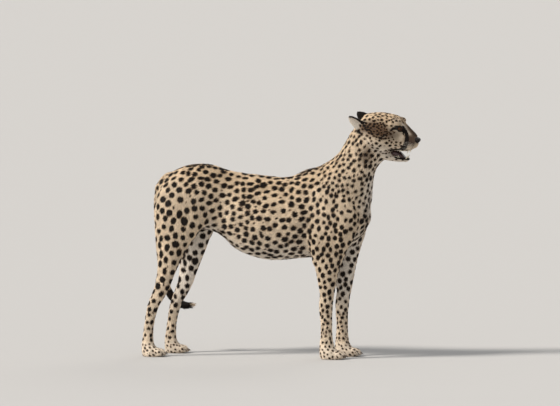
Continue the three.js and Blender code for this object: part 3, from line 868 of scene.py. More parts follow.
# Ends a piece made of spikes. `place` brings their millimetres to the body's frame.
def addSpikes(shape, name, slot, paint, place):
    bmesh.ops.recalc_face_normals(shape, faces=shape.faces)
    bmesh.ops.transform(shape, matrix=place, verts=shape.verts)
    addPiece(name + "Piece", meshFrom(shape, name), slot, paint)


toothMake = {
    "sunk": 4,  # millimetres of each root that the gum holds
    "canine": (1.5, 1.6),  # how much stouter than the modelled one, and how far its middle bends forward
    "cheek": (1.3, 0.4),
    "cusps": (-6, 6),  # the shearing teeth have a lower cusp before and behind
    "cuspHeight": 0.62,
    "frontSpacing": 3.1,
    # front teeth above and below: X, gum, edge, thickness, and how wide the row is
    "frontRows": ((-22, -44, -51.5, 3.1, 1), (-27, -91, -84.5, 2.6, 0.85)),
    "look": {
        "colours": ((0.76, 0.68, 0.52, 1), (0.62, 0.49, 0.30, 1)),
        "patches": (120.0, 0.35, 0.7),
        "roughness": (500.0, 0.22, 0.34),
        "fixed": {"Specular_IOR_Level": 0.5, "Coat_Weight": 0.3, "Coat_Roughness": 0.1},
    },
}


def makeTeeth():
    shape = bmesh.new()
    for name, (root, tip, thickness) in teeth.items():
        canine = name.endswith("Canine")
        stouter, forward = toothMake["canine" if canine else "cheek"]
        for side in (1, -1):
            start, end = (Vector((x, y * side, z)) for x, y, z in (root, tip))
            held = start + (start - end).normalized() * toothMake["sunk"]
            addSpike(shape, held, end, thickness * stouter, (forward, 0, 0), blunt=0.9, flat=0.85)
            short = start.lerp(end, toothMake["cuspHeight"])
            for ahead in () if canine else toothMake["cusps"]:
                shift = Vector((ahead, -0.4 * side, 0))
                addSpike(shape, held + shift, short + shift, thickness * 1.1, (0, 0, 0), blunt=0.9, flat=0.8)
    for place in range(6):
        across = (place - 2.5) * toothMake["frontSpacing"]
        back = 0.10 * across**2
        for ahead, gum, edge, thickness, wide in toothMake["frontRows"]:
            root, tip = (ahead - back, across * wide, gum), (ahead + 0.5 - back, across * wide, edge)
            addSpike(shape, root, tip, thickness, (0.3, 0, 0), blunt=0.5, flat=0.7)
    addSpikes(shape, "teeth", "tooth", patchedPaint("toothEnamel", toothMake["look"]), headToBody)


# millimetres, from each toe's own front and the floor
clawMake = {
    "toes": ((-22, -8), (-7.5, 0), (7.5, 1), (22, -6)),  # sideways from the right, and how far ahead
    "root": (-17, 17),
    "tip": (1.5, 6),
    "thickness": 6.0,
    "bend": (1.2, 0, 3.4),
    "dewclaw": (0.040, 0.082),  # metres, ahead of the back of the forepaw and over the floor
    "look": {
        "colours": ((0.075, 0.050, 0.036, 1), (0.20, 0.145, 0.10, 1)),
        "patches": (260.0, 0.35, 0.7),
        "roughness": (700.0, 0.28, 0.42),
        "fixed": {"Specular_IOR_Level": 0.5, "Coat_Weight": 0.2, "Coat_Roughness": 0.2},
    },
}


def makeClaws(skinTree):
    shape = bmesh.new()
    for name in paws:
        low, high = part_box(name)
        middle = (low.y + high.y) / 2 * 1000
        for out, ahead in clawMake["toes"]:
            front = high.x * 1000 + ahead
            (back, top), (reach, foot) = clawMake["root"], clawMake["tip"]
            root, tip = (front + back, middle + out, top), (front + reach, middle + out * 1.02, foot)
            addSpike(shape, root, tip, clawMake["thickness"], clawMake["bend"], flat=0.62)
        if name.startswith("forepaw"):  # the short claw on the inner side of the wrist
            outer = 1 if name.endswith("left") else -1
            ahead, height = clawMake["dewclaw"]
            start = Vector((low.x + ahead, bodyMiddle, height))
            root = skinTree.ray_cast(start, Vector((0, outer, 0)))[0] * 1000
            tip = root + Vector((10, -2.2 * outer, -8))
            addSpike(shape, root + Vector((-3, 2.2 * outer, 2)), tip, 5.0, (1.0, -1.5 * outer, 1.2), flat=0.7)
    addSpikes(shape, "claws", "claw", patchedPaint("clawHorn", clawMake["look"]), Matrix.Scale(0.001, 4))


whiskers = {
    "thickness": 0.38,
    "dot": 2.1,  # radius of the dark dot at each root
    # rows on the left pad: first root, last root, how many, length of the first and the last
    "rows": (
        ((-15.5, 25.5, -19.5), (-33, 32, -17.5), 3, 40, 50),
        ((-13, 27, -26), (-35, 35, -25), 4, 46, 66),
        ((-14, 28, -33), (-35, 36, -33), 4, 50, 70),
        ((-19, 28, -40), (-34, 35, -41), 3, 44, 60),
    ),
    "brow": ((-90, 36, 46), (-98, 41, 46), 2, 30, 36),
    "look": {
        "colours": ((0.80, 0.75, 0.66, 1), (0.50, 0.42, 0.33, 1)),
        "patches": (60.0, 0.4, 0.7),
        "fixed": {"Specular_IOR_Level": 0.4, "Roughness": 0.4},
    },
}


def makeWhiskers(skinTree):
    shape = bmesh.new()
    for first, last, count, short, long in whiskers["rows"] + (whiskers["brow"],):
        rise, fall = (0.75, 0) if first[2] > 0 else (0.02, 0.16)  # those of the brow stand up
        for place, side in itertools.product(range(count), (1, -1)):
            share = place / (count - 1)
            wish = Vector(first).lerp(Vector(last), share)
            wish.y *= side
            root = headToBody.inverted() @ skinTree.find_nearest(headToBody @ wish)[0]
            size = (short + (long - short) * share) * (0.9 + 0.2 * random.random())
            way = Vector((-0.30 - 0.35 * share, side * 0.9, rise - fall * share))
            way = (way + Vector(0.10 * random.standard_normal(3))).normalized()
            droop = Vector((0.06, 0.02 * side, 0.10)) * size
            start, end = root - way * 1.5, root + way * size - 1.6 * droop
            addSpike(shape, start, end, whiskers["thickness"], droop, sides=4, rings=6, blunt=0.8)
    addSpikes(shape, "whiskers", "whisker", patchedPaint("whiskerHair", whiskers["look"]), headToBody)


# The tail's middle line, in metres.
tailLine = [
    (-0.4475, -0.0185, 0.716), (-0.4915, -0.0165, 0.688), (-0.5075, -0.0105, 0.620), (-0.5105, 0.0015, 0.530),
    (-0.5115, 0.0235, 0.445), (-0.5115, 0.0555, 0.370), (-0.5075, 0.0845, 0.302), (-0.4965, 0.1025, 0.258),
    (-0.4815, 0.1115, 0.226), (-0.4575, 0.1145, 0.203), (-0.4315, 0.1135, 0.191), (-0.3925, 0.1095, 0.192),
]

# Which way the hair lies on each part. Those of the head are in its own frame.
hairWay = {
    "trunk": (-1.0, 0.0, -0.28), "neck": (-0.5, 0.0, -0.85), "head": (-1.0, 0.0, -0.10),
    "jaw": (-1.0, 0.0, -0.15), "ear": (-0.93, 0.1, 0.3), "foreleg": (-0.14, 0.0, -1.0),
    "hindleg": (-0.12, 0.0, -1.0), "forepaw": (0.75, 0.0, -0.5), "hindpaw": (0.75, 0.0, -0.5),
    "tail": (0.0, 0.0, -1.0),
}

# Length in millimetres, and how far each hair stands up from the skin, in degrees.
hair = {
    "length": {
        "trunk": 11.5, "neck": 12, "head": 6.5, "jaw": 6, "ear": 5, "foreleg": 9, "hindleg": 10,
        "forepaw": 4.6, "hindpaw": 4.6, "tail": 13,
    },
    "lift": 9,
    # what differs from place to place: centre, radii, extra length, extra lift
    "places": [
        ((0.10, -0.0185, 0.765), (0.13, 0.035, 0.05), 9, 16),  # withers
        ((0.19, -0.02, 0.84), (0.07, 0.03, 0.08), 7, 10),  # nape
        ((0.05, -0.0185, 0.385), (0.24, 0.07, 0.05), 9, 12),  # belly
        ((-0.21, -0.0185, 0.43), (0.10, 0.07, 0.05), 9, 10),
        ((0.345, -0.02, 0.60), (0.06, 0.07, 0.10), 5, 8),  # breast
        ((-0.50, -0.0185, 0.55), (0.04, 0.13, 0.14), 5, 5),  # back of the thighs
    ],
    "headPlaces": [
        ((-190, 60, -60), (50, 30, 44), 8, 7),  # ruff behind the cheek
        ((-190, -60, -60), (50, 30, 44), 8, 7),
        ((-150, 0, -116), (60, 40, 20), 5, 6),  # throat
        ((-20, 0, -24), (44, 54, 44), -5.2, -4),  # muzzle
        ((-66, 0, 20), (50, 60, 40), -3.4, -3),  # eyes and bridge of the nose
        ((-30, 0, -100), (22, 22, 16), -1, 3),  # chin
    ],
    "brush": (0.84, 0.97, 12, 5),  # where the tail's starts and is full, extra length, extra lift
    # centre, radii, and which way the hair of the trunk is turned there
    "turns": [
        ((0.22, bodyMiddle, 0.55), (0.14, 0.16, 0.18), (0.5, 0, -0.7)),  # shoulder
        ((-0.42, bodyMiddle, 0.60), (0.16, 0.2, 0.16), (0.4, 0, -0.8)),  # haunch
    ],
}


def hairLie(points, normals, edges, part):
    lie = partValues(part, hairWay)
    local = intoHead(points)
    side = np.sign(local[:, 1])[:, None]
    outward = lie.copy()
    outward[:, 1] *= side[:, 0]
    # over the muzzle and round the eyes the hair parts to each side
    parting = near(local, (-40, 0, 0), (60, 60, 60))[:, None]
    outward += parting * side * np.array([0, 0.8, -0.3]) * (np.abs(local[:, 1:2]) > 4)
    lie = np.where(isPart(part, "head", "jaw", "ear")[:, None], unit(outward) @ headAxes.T * 1000, lie)
    for centre, radii, way in hair["turns"]:
        lie = lie + near(points, centre, radii)[:, None] * isPart(part, "trunk")[:, None] * np.array(way)
    _, place = alongPath(points, tailLine)
    line = np.array(tailLine)
    stops = np.concatenate([[0], np.cumsum(np.linalg.norm(np.diff(line, axis=0), axis=1))])
    steps = np.gradient(line, stops, axis=0)
    tailward = np.stack([np.interp(place * stops[-1], stops, steps[:, i]) for i in range(3)], axis=1)
    lie = unit(np.where(isPart(part, "tail")[:, None], tailward, lie))
    for _ in range(3):
        lie = lie - normals * np.sum(lie * normals, axis=1)[:, None]
        lie = unit(relaxed(unit(lie), edges, 0.5, 8))
    return unit(lie - normals * np.sum(lie * normals, axis=1)[:, None])


def hairLength(points, edges, part):
    length = blended(partValues(part, hair["length"]), edges, 14)
    lift = np.full(len(points), float(hair["lift"]))
    face = (intoHead(points), isPart(part, "head", "jaw"), hair["headPlaces"])
    for where, held, places in ((points, 1, hair["places"]), face):
        for centre, radii, more, higher in places:
            there = near(where, centre, radii) * held
            length, lift = length + more * there, lift + higher * there
    _, place = alongPath(points, tailLine)
    starts, full, more, higher = hair["brush"]
    there = ease(place, starts, full) * isPart(part, "tail")
    return np.maximum(length + more * there, 1.6), lift + higher * there


# For each part: millimetres between spots, and their radius.
spotPlan = {
    "trunk": (28.8, 10.6), "neck": (21.5, 7.1), "head": (12.8, 3.8), "jaw": (21, 3.4), "ear": (60, 1.0),
    "foreleg": (25.5, 9.2), "forepaw": (15, 3.8), "hindleg": (31.5, 11.7), "hindpaw": (15, 3.8),
    "tail": (27, 9.4),
}

spots = {
    "stretch": 1.22,  # length over width, along the lie of the hair
    "variety": 0.10,
    "tries": 60000,
    "closest": 0.84,  # share of their spacing that two of them keep at first, and after they are evened out
    "closestAfter": 0.80,
    "evening": 9,  # rounds that even out their spacing
    "flecks": 0.12,  # small ones between, for each full one
    "fleckTries": 9000,
    # centre, radii, and how many times the spacing and the size there
    "places": [
        ((0.10, -0.0185, 0.75), (0.30, 0.05, 0.05), 0.72, 1.04),  # along the back
        ((-0.30, -0.0185, 0.77), (0.24, 0.06, 0.05), 0.78, 1.02),
        ((0.33, -0.0185, 0.62), (0.06, 0.10, 0.14), 0.90, 0.96),  # breast
        ((0.335, -0.02, 0.76), (0.05, 0.09, 0.12), 1.06, 1.26),  # throat
        ((0.22, -0.0185, 0.60), (0.10, 0.16, 0.14), 0.88, 0.98),  # shoulders
        ((0.0, -0.0185, 0.36), (0.30, 0.09, 0.06), 1.08, 0.95),  # belly
        ((-0.20, -0.0185, 0.40), (0.14, 0.09, 0.09), 1.15, 0.9),
        ((-0.40, -0.0185, 0.58), (0.12, 0.19, 0.16), 1.08, 1.15),  # thighs
        ((-0.40, -0.0185, 0.45), (0.12, 0.07, 0.20), 1.35, 0.85),  # inside the thighs
    ],
}


mottledCheek = ((-165, 62, -6), (88, 42, 52))  # closer spots, in the head's frame, which also darken the cheek as painted shade
lowCheek = ((-126, 62, -58), (46, 36, 40))  # larger ones


def spacingAt(points, part):
    apart, radius = partValues(part, spotPlan).T
    local, mirrored = intoHead(points), mirroredHead(points)
    head, face = isPart(part, "head"), isPart(part, "head", "jaw")
    body = isPart(part, "trunk", "neck", "hindleg", "foreleg")
    changes = []
    for centre, radii, wider, larger in spots["places"]:
        changes.append((np.clip(near(points, centre, radii) * 2, 0, 1) * body, wider - 1, larger - 1))
    lowLeg = (1 - ease(points[:, 2], 0.06, 0.34)) * isPart(part, "foreleg", "hindleg")
    ruff = ease(-local[:, 0], 130, 235) * face
    crown = ease(local[:, 2], 30, 55) * head * (1 - ruff)
    mottled = np.clip(2 * near(mirrored, *mottledCheek), 0, 1) * head
    low = np.clip(2 * near(mirrored, *lowCheek), 0, 1) * (1 - mottled) * face
    changes += [(lowLeg, -0.36, -0.48), (ruff, 0.5, 0.75), (crown, -0.14, 0.10), (mottled, -0.30, 0.02)]
    for there, wider, larger in changes + [(low, 0.35, 0.35)]:
        apart, radius = apart * (1 + there * wider), radius * (1 + there * larger)
    return apart / 1000, radius / 1000


# Even but random points on the skin.
def surfaceSample(mesh, count):
    mesh.calc_loop_triangles()
    corners = rowsOf(mesh.loop_triangles, "vertices", 3, np.int64)
    a, b, c = (pointsOf(mesh)[corners[:, i]] for i in range(3))
    area = np.linalg.norm(np.cross(b - a, c - a), axis=1)
    chosen = random.choice(len(area), count, p=area / area.sum())
    one, two = random.random(count), random.random(count)
    flip = one + two > 1
    one, two = np.where(flip, 1 - one, one), np.where(flip, 1 - two, two)
    points = a[chosen] + one[:, None] * (b - a)[chosen] + two[:, None] * (c - a)[chosen]
    return points, corners[chosen, 0]


def treeOf(points):
    tree = KDTree(len(points))
    for i, point in enumerate(points):
        tree.insert(point, i)
    tree.balance()
    return tree


# Spot centres kept a set distance apart, then evened out. Returns their places and nearest skin vertices.
def placeSpots(mesh, part):
    tried, vertex = surfaceSample(mesh, spots["tries"])
    apart, _ = spacingAt(tried, part[vertex])
    cell = 0.03  # metres, of the boxes that are searched for neighbours
    boxes, kept = {}, []
    for i, point in enumerate(tried):
        key = tuple((point // cell).astype(int))
        reach = int(math.ceil(apart[i] / cell))
        steps = itertools.product(range(-reach, reach + 1), repeat=3)
        around = (boxes.get((key[0] + dx, key[1] + dy, key[2] + dz), ()) for dx, dy, dz in steps)
        others = itertools.chain.from_iterable(around)
        if all(math.dist(point, tried[j]) >= spots["closest"] * min(apart[i], apart[j]) for j in others):
            boxes.setdefault(key, []).append(i)
            kept.append(i)
    kept = np.array(kept)
    every = treeOf(tried)
    weight = 1 / apart**2
    for _ in range(spots["evening"]):
        tree = treeOf(tried[kept])
        owner = np.array([tree.find(point)[1] for point in tried])
        total = np.bincount(owner, weight, len(kept))
        middle = np.stack([np.bincount(owner, weight * tried[:, k], len(kept)) for k in range(3)], axis=1)
        middle /= total[:, None]
        kept = np.array([every.find(point)[1] for point in middle])
    alone = []
    for i in np.unique(kept):
        if all(math.dist(tried[i], tried[j]) > spots["closestAfter"] * apart[i] for j in alone):
            alone.append(i)
    return tried[alone], vertex[alone]


def makeSpots(mesh, part, lie):
    centres, vertex = placeSpots(mesh, part)
    _, radius = spacingAt(centres, part[vertex])
    size = radius * np.exp(spots["variety"] * random.standard_normal(len(centres)))
    long = size * np.sqrt(spots["stretch"]) * (1 + 0.1 * random.standard_normal(len(centres)))
    wide = size**2 / long
    way = unit(lie[vertex] + 0.22 * random.standard_normal((len(centres), 3)))
    # flecks in the wider spaces
    tried, at = surfaceSample(mesh, spots["fleckTries"])
    tree = treeOf(centres)
    room = np.array([tree.find(point)[2] for point in tried])
    apart, radius = spacingAt(tried, part[at])
    flecks = []
    for i in np.flatnonzero(room > radius + 0.30 * apart):
        if len(flecks) > spots["flecks"] * len(centres):
            break
        if all(math.dist(tried[i], tried[j]) > 0.6 * apart[i] for j in flecks[-400:]):
            flecks.append(i)
    flecks = np.array(flecks)
    small = radius[flecks] * (0.2 + 0.22 * random.random(len(flecks)))
    centres = np.concatenate([centres, tried[flecks]])
    long, wide = np.concatenate([long, small * 1.2]), np.concatenate([wide, small / 1.2])
    way = np.concatenate([way, lie[at[flecks]]])
    return {"centres": centres, "long": long, "wide": wide, "way": way, "tree": treeOf(centres)}


# Millimetres to the nearest spot's edge, below 0 inside it.
def toSpotEdge(points, made):
    found = [made["tree"].find_n(point, 5) for point in points]
    index = np.array([[hit[1] for hit in hits] for hits in found])
    away = points[:, None] - made["centres"][index]
    along = np.sum(away * made["way"][index], axis=2)
    across2 = np.maximum(np.sum(away**2, axis=2) - along**2, 0)
    long, wide = made["long"][index], made["wide"][index]
    share = np.sqrt((along / long) ** 2 + across2 / wide**2)
    return ((share - 1) * np.sqrt(long * wide)).min(axis=1) * 1000


# Lines on the face, in the head's frame on the left side: their path, and half width at its two ends.
faceLines = {
    "tear": (
        ((-74, 24, 31), (-59, 23, 18), (-49, 25, 5), (-43, 31, -9), (-41, 36, -25), (-43, 37, -42)), 6, 9.6
    ),
    "tearFoot": (((-43, 37, -42), (-52, 36, -56), (-62, 37, -64)), 9.9, 8.4),
    "upperLip": (
        ((-14, 0, -47), (-22, 18, -50), (-34, 30, -54), (-48, 35, -57), (-64, 36, -61), (-92, 38, -71)),
        3.2, 7.4,
    ),
    "lowerLip": (
        ((-23, 0, -85), (-28, 12, -86), (-40, 19, -88), (-56, 24, -91), (-72, 29, -91), (-92, 37, -76)),
        8.2, 8,
    ),
    "eyeCorner": (((-92, 44, 24), (-104, 50, 19), (-110, 56, 10)), 8.0, 3.6),
    "philtrumLine": (((-9, 0, -19), (-6, 0, -26), (-9, 0, -31), (-15, 0, -37), (-20, 0, -47)), 1.6, 2.2),
    "behindEye": (((-110, 56, 8), (-122, 66, -10), (-142, 71, -33)), 2.8, 3.4),
    "underEar": (((-226, 57, -40), (-246, 46, -38)), 5.0, 7.0),
}
# Where the head has no spots, in its own frame on the left side: centre and radii.
unspotted = (
    ((-30, 0, 6), (90, 26, 50)),
    ((-24, 16, -14), (40, 40, 40)),
    ((-76, 40, -8), (26, 22, 20)),
    ((-84, 34, 28), (30, 20, 24)),
)
tailRings = ((0.600, 0.645), (0.690, 0.745), (0.790, 0.865), (0.915, 0.985))  # shares of the tail's length


# Millimetres to the nearest solid dark mark: a line of the face, the back of an ear or a ring of the tail.
def toDarkEdge(points, normals, part):
    local, mirrored = intoHead(points), mirroredHead(points)
    facing = facingInHead(normals)
    facing[:, 1] *= np.sign(local[:, 1])
    edge = np.full(len(points), 20.0)
    head = isPart(part, "head", "jaw", "ear", "neck")
    for path, first, last in faceLines.values():
        away, place = alongPath(mirrored, path)
        edge = np.where(head, np.minimum(edge, away - (first + (last - first) * place)), edge)
    for first, last, count, _, _ in whiskers["rows"]:  # a dot at the root of each whisker
        for share in np.linspace(0, 1, count):
            away = np.linalg.norm(mirrored - np.array(first) * (1 - share) - np.array(last) * share, axis=1)
            edge = np.minimum(edge, away - whiskers["dot"])
    # the black rims round the eyes, widened by painted shade from the brow
    for name in eyes:
        rim, up, reach, ahead = fromLidEdge(local, name)
        rim = np.where((ahead > 0) & (reach < 28), rim, 20)
        edge = np.minimum(edge, rim - np.where(up > 0, *eye["black"]))
    root, tip = (np.array(end) for end in ear["line"])
    opens = unit(np.array([ear["opens"]]))[0]
    share = (mirrored - root) @ (tip - root) / np.sum((tip - root) ** 2)
    behind = ease(-(facing @ opens), -0.15, 0.25) * ease(share, 0.22, 0.34) * isPart(part, "ear")
    edge = np.minimum(edge, 4 - 9 * behind)
    # an ear's upper edge is black in front too, and its lower one thinly
    above = (mirrored - root) @ -np.cross(unit((tip - root)[None])[0], opens)
    half = np.interp(share, *ear["outline"])
    fromEdge = half + above - ear["blackBelow"]
    fromEdge = np.minimum(half - above - np.interp(share, (0, 1), ear["blackAbove"]), fromEdge)
    edge = np.where(isPart(part, "ear") & (share > 0.08), np.minimum(edge, fromEdge), edge)
    _, place = alongPath(points, tailLine)
    length = np.linalg.norm(np.diff(np.array(tailLine), axis=0), axis=1).sum() * 1000
    for first, last in tailRings:
        ring = (np.abs(place - (first + last) / 2) - (last - first) / 2) * length
        edge = np.where(isPart(part, "tail"), np.minimum(edge, ring), edge)
    return np.clip(edge, -20, 20)


# How much of the mouth's lining each point has. The lining is painted near black, as painted shade inside the
# mouth.
def mouthShare(points, normals):
    local = intoHead(points)
    facing = facingInHead(normals)
    inside = near(local, (-70, 0, -76), (62, 33, 24))
    roof = ease(-facing[:, 2], 0.2, 0.7) * (local[:, 2] > -76)
    floor = ease(facing[:, 2], 0.2, 0.6) * (local[:, 2] < -72)
    deep = ease(-local[:, 0], 84, 98)
    return np.clip(inside * 6, 0, 1) * np.clip(roof + floor + deep, 0, 1)


# In the head's frame on the left side: centre, radii, strength.
palePatches = (
    ((-28, 26, -36), (24, 20, 18), 0.35),  # whisker pad
    ((-66, 36, -8), (12, 14, 18), 0.3),  # behind the tear line
    ((-104, 30, 50), (26, 20, 14), 0.55),  # over the eye
)
paintedHighlightLine = ((-90, 22, 45), (-72, 15, 37), (-55, 16, 24), (-38, 18, 11))  # between the eye and the bridge: a pale line painted where the side of the bridge catches the light
# Painted shade in a dark brown: on the cheek under the ear, in the fold behind the jaw, on the bridge and
# muzzle and below the eye. The bridge is also a little browner of its own.
paintedShadePatches = (
    ((-162, 60, -4), (92, 42, 50), 1.0),  # cheek, under the ear
    ((-225, 50, -20), (34, 30, 40), 0.6),
    ((-176, 62, -112), (34, 34, 60), 0.72),  # the fold behind the jaw
    ((-42, 0, 20), (80, 26, 44), 1.0),  # bridge of the nose
    ((-30, 22, -12), (40, 30, 34), 0.95),
    ((-36, 34, -18), (18, 20, 34), 0.62),
    ((-90, 48, -8), (42, 28, 32), 0.45),
)


# How white and golden the ground colour is, and how much painted shade darkens it to a dark brown, each from
# 0 to 1.
def groundColours(points, normals, edges, part):
    local, mirrored = intoHead(points), mirroredHead(points)
    inward = -normals[:, 1] * np.sign(points[:, 1] - bodyMiddle)
    body, legs = isPart(part, "trunk", "neck", "tail"), isPart(part, "foreleg", "hindleg")
    head = isPart(part, "head")
    _, alongTail = alongPath(points, tailLine)
    fromLine, _ = alongPath(mirrored, paintedHighlightLine)
    pale = [
        0.7 * ease(-normals[:, 2], 0.1, 0.85) * body,
        0.975 * near(points, (0.36, bodyMiddle, 0.66), (0.08, 0.09, 0.22)),  # breast
        0.9 * ease(inward, 0.0, 0.7) * legs * ease(points[:, 2], 0.1, 0.3),
        0.15 * legs * (1 - ease(points[:, 2], 0.1, 0.5)),
        0.35 * isPart(part, "forepaw", "hindpaw"),
        0.6 * isPart(part, "jaw"),
        0.7 * head * ease(-local[:, 2], 34, 90),
        # painted highlight along the lit side of the bridge
        0.85 * head * (1 - ease(fromLine, 1.5, 4.5)),
        0.75 * isPart(part, "ear"),
        ease(alongTail, 0.985, 0.995) * isPart(part, "tail"),
    ]
    for centre, radii, share in palePatches:
        pale.append(np.clip(1.4 * near(mirrored, centre, radii), 0, 1) * share * head)
    pale = np.maximum.reduce(pale)
    gold = ease(normals[:, 2], -0.1, 0.9) * (body | head) + 0.25 * body + 0.35 * legs
    gold += 0.5 * ease(local[:, 2], 25, 50) * head
    smoky = sum(share * np.clip(1.5 * near(mirrored, *patch), 0, 1) for *patch, share in paintedShadePatches)
    smoky = smoky * isPart(part, "head", "jaw", "neck") * (1 - 0.75 * pale)
    return [np.clip(blended(values, edges, 8), 0, 1) for values in (pale, gold, smoky)]


def store(mesh, name, values, kind="FLOAT"):
    layer = mesh.attributes.new(name, kind, "POINT")
    layer.data.foreach_set("value" if kind == "FLOAT" else "vector", np.ravel(values))


# Millimetres to the nearest spot and the nearest dark mark, `ahead` of each point, where a tuft's tip lies.
def marksAt(points, normals, part, made, ahead=0):
    at = points + ahead
    _, place = alongPath(points, tailLine)
    ringed = ease(place, 0.57, 0.60) * isPart(part, "tail")
    spot = toSpotEdge(at, made) + 30 * ringed
    local = mirroredHead(points)
    bare = sum(near(local, centre, radii) for centre, radii in unspotted)
    spot += 60 * np.clip(bare, 0, 0.5) * isPart(part, "head")
    return np.clip(spot, -20, 20), toDarkEdge(at, normals, part)


coatColours = {
    "tan": (0.79, 0.65, 0.485, 1),
    "gold": (0.73, 0.56, 0.375, 1),
    "white": (0.86, 0.79, 0.70, 1),
    # the colour of the painted shade on the face and neck
    "smoky": (0.105, 0.068, 0.048, 1),
    "black": (0.006, 0.0045, 0.004, 1),
    "brownEdge": (0.20, 0.105, 0.045, 1),
    # near black: the mouth's lining with painted shade
    "mouth": (0.016, 0.005, 0.005, 1),
    "ragged": 2.4,  # millimetres that the edge of a mark wanders
}


# Ground colour with its marks and painted shade. `Shade` differs from tuft to tuft, and `Along` runs from
# root to tip.
def makeCoatGroup():
    levels = {"Spot": 20, "Dark": 20, "Pale": 0, "Gold": 0, "PaintedShade": 0, "Mouth": 0, "Shade": 0.5}
    levels["Along"] = 0.6
    inputs = [("Place", "NodeSocketVector", None)]
    inputs += [(name, "NodeSocketFloat", level) for name, level in levels.items()]
    outputs = [("Colour", "NodeSocketColor"), ("Marked", "NodeSocketFloat"), ("Grain", "NodeSocketFloat")]
    group, given, result = newGroup("coatPattern", "ShaderNodeTree", inputs, outputs)
    place, spot, dark, pale, gold, smoky, mouth, shade, along = list(given.outputs)[:9]
    broad, patchy, fine, wander = (
        noise(group, scale, detail, place) for scale, detail in ((9, 3), (45, 3), (420, 4), (150, 4))
    )
    shift = sumOf(group, sumOf(group, wander, 0.5, "SUBTRACT"), coatColours["ragged"], "MULTIPLY")
    spotAt = sumOf(group, spot, shift)
    darkAt = sumOf(group, dark, sumOf(group, shift, 0.5, "MULTIPLY"))
    ground = mixed(group, gold, coatColours["tan"], coatColours["gold"])
    ground = mixed(group, pale, ground, coatColours["white"])
    # painted shade darkens the ground colour on the face and neck
    ground = mixed(group, smoky, ground, coatColours["smoky"])
    value = 1.0
    for source, low, high, darkest, lightest, smooth in (
        (broad, 0.3, 0.7, 0.90, 1.08, True),
        (patchy, 0.3, 0.7, 0.90, 1.09, True),
        (fine, 0.25, 0.75, 0.88, 1.10, True),
        (shade, 0.0, 1.0, 0.80, 1.16, False),
        (along, 0.0, 1.0, 0.74, 1.10, False),
    ):
        value = sumOf(group, value, ranged(group, source, low, high, darkest, lightest, smooth), "MULTIPLY")
    tint = addNode(group, "ShaderNodeCombineXYZ", {0: value, 1: value, 2: value}).outputs[0]
    ground = mixed(group, 1.0, ground, tint, "MULTIPLY")
    ground = mixed(group, ranged(group, spotAt, 0.2, 3.2, 0.75, 0.0), ground, coatColours["brownEdge"])
    inSpot = ranged(group, spotAt, -0.7, 0.9, 1.0, 0.0)
    inDark = ranged(group, darkAt, -0.6, 0.6, 1.0, 0.0)
    marked = sumOf(group, inSpot, inDark, "MAXIMUM")
    faded = ranged(group, shade, 0.3, 1.0, 0.0, 0.06)
    black = mixed(group, faded, coatColours["black"], coatColours["brownEdge"])
    colour = mixed(group, mouth, mixed(group, marked, ground, black), coatColours["mouth"])
    for name, socket in (("Colour", colour), ("Marked", marked), ("Grain", fine)):
        group.links.new(socket, result.inputs[name])
    return group


coatGroup = makeCoatGroup()


def coatMaterial(name, tufted):
    paint, tree, shader = newPaint(name, Specular_IOR_Level=0.11, Sheen_Weight=0.03, Sheen_Roughness=0.5)
    place = addNode(tree, "ShaderNodeTexCoord").outputs["Object"]
    pattern = addNode(tree, "ShaderNodeGroup", node_tree=coatGroup)
    tree.links.new(place, pattern.inputs["Place"])
    names = {"Spot": "spotEdge", "Dark": "darkEdge", "Pale": "pale", "Gold": "gold", "PaintedShade": "smoky"}
    names.update({"Shade": "tuftShade", "Along": "along"} if tufted else {"Mouth": "mouth"})
    for socket, layer in names.items():
        tree.links.new(attribute(tree, layer), pattern.inputs[socket])
    tree.links.new(pattern.outputs["Colour"], shader.inputs["Base Color"])
    tree.links.new(ranged(tree, pattern.outputs["Marked"], 0.0, 1.0, 0.62, 0.48), shader.inputs["Roughness"])
    if not tufted:
        addBump(tree, shader, pattern.outputs["Grain"], 0.5, 0.0012)
    return paint


skinMesh = makeSkinShape()
sculptSkin(skinMesh)
addPiece("skin", skinMesh, "coat", coatMaterial("shortCoat", False), *fleshNodes)
print("skin: sculpted")

points, normals, edges = pointsOf(skinMesh), normalsOf(skinMesh), edgesOf(skinMesh)
part = nearestPart(points)
lie = hairLie(points, normals, edges, part)
length, lift = hairLength(points, edges, part)
madeSpots = makeSpots(skinMesh, part, lie)
print("marks:", len(madeSpots["centres"]), "spots")
mouth = mouthShare(points, normals)
layers = [*marksAt(points, normals, part, madeSpots), *groundColours(points, normals, edges, part), mouth]
for name, values in zip(("spotEdge", "darkEdge", "pale", "gold", "smoky", "mouth"), layers):
    store(skinMesh, name, values)

eyePaint = eyeFinish()
for name in eyes:
    makeEyeball(name, eyePaint)
makeNose()
makeTongue()
makeTeeth()
skinTree = surfaceTree(skinMesh)
makeClaws(skinTree)
makeWhiskers(skinTree)
print("face: eyes, nose, tongue, teeth, claws and whiskers")

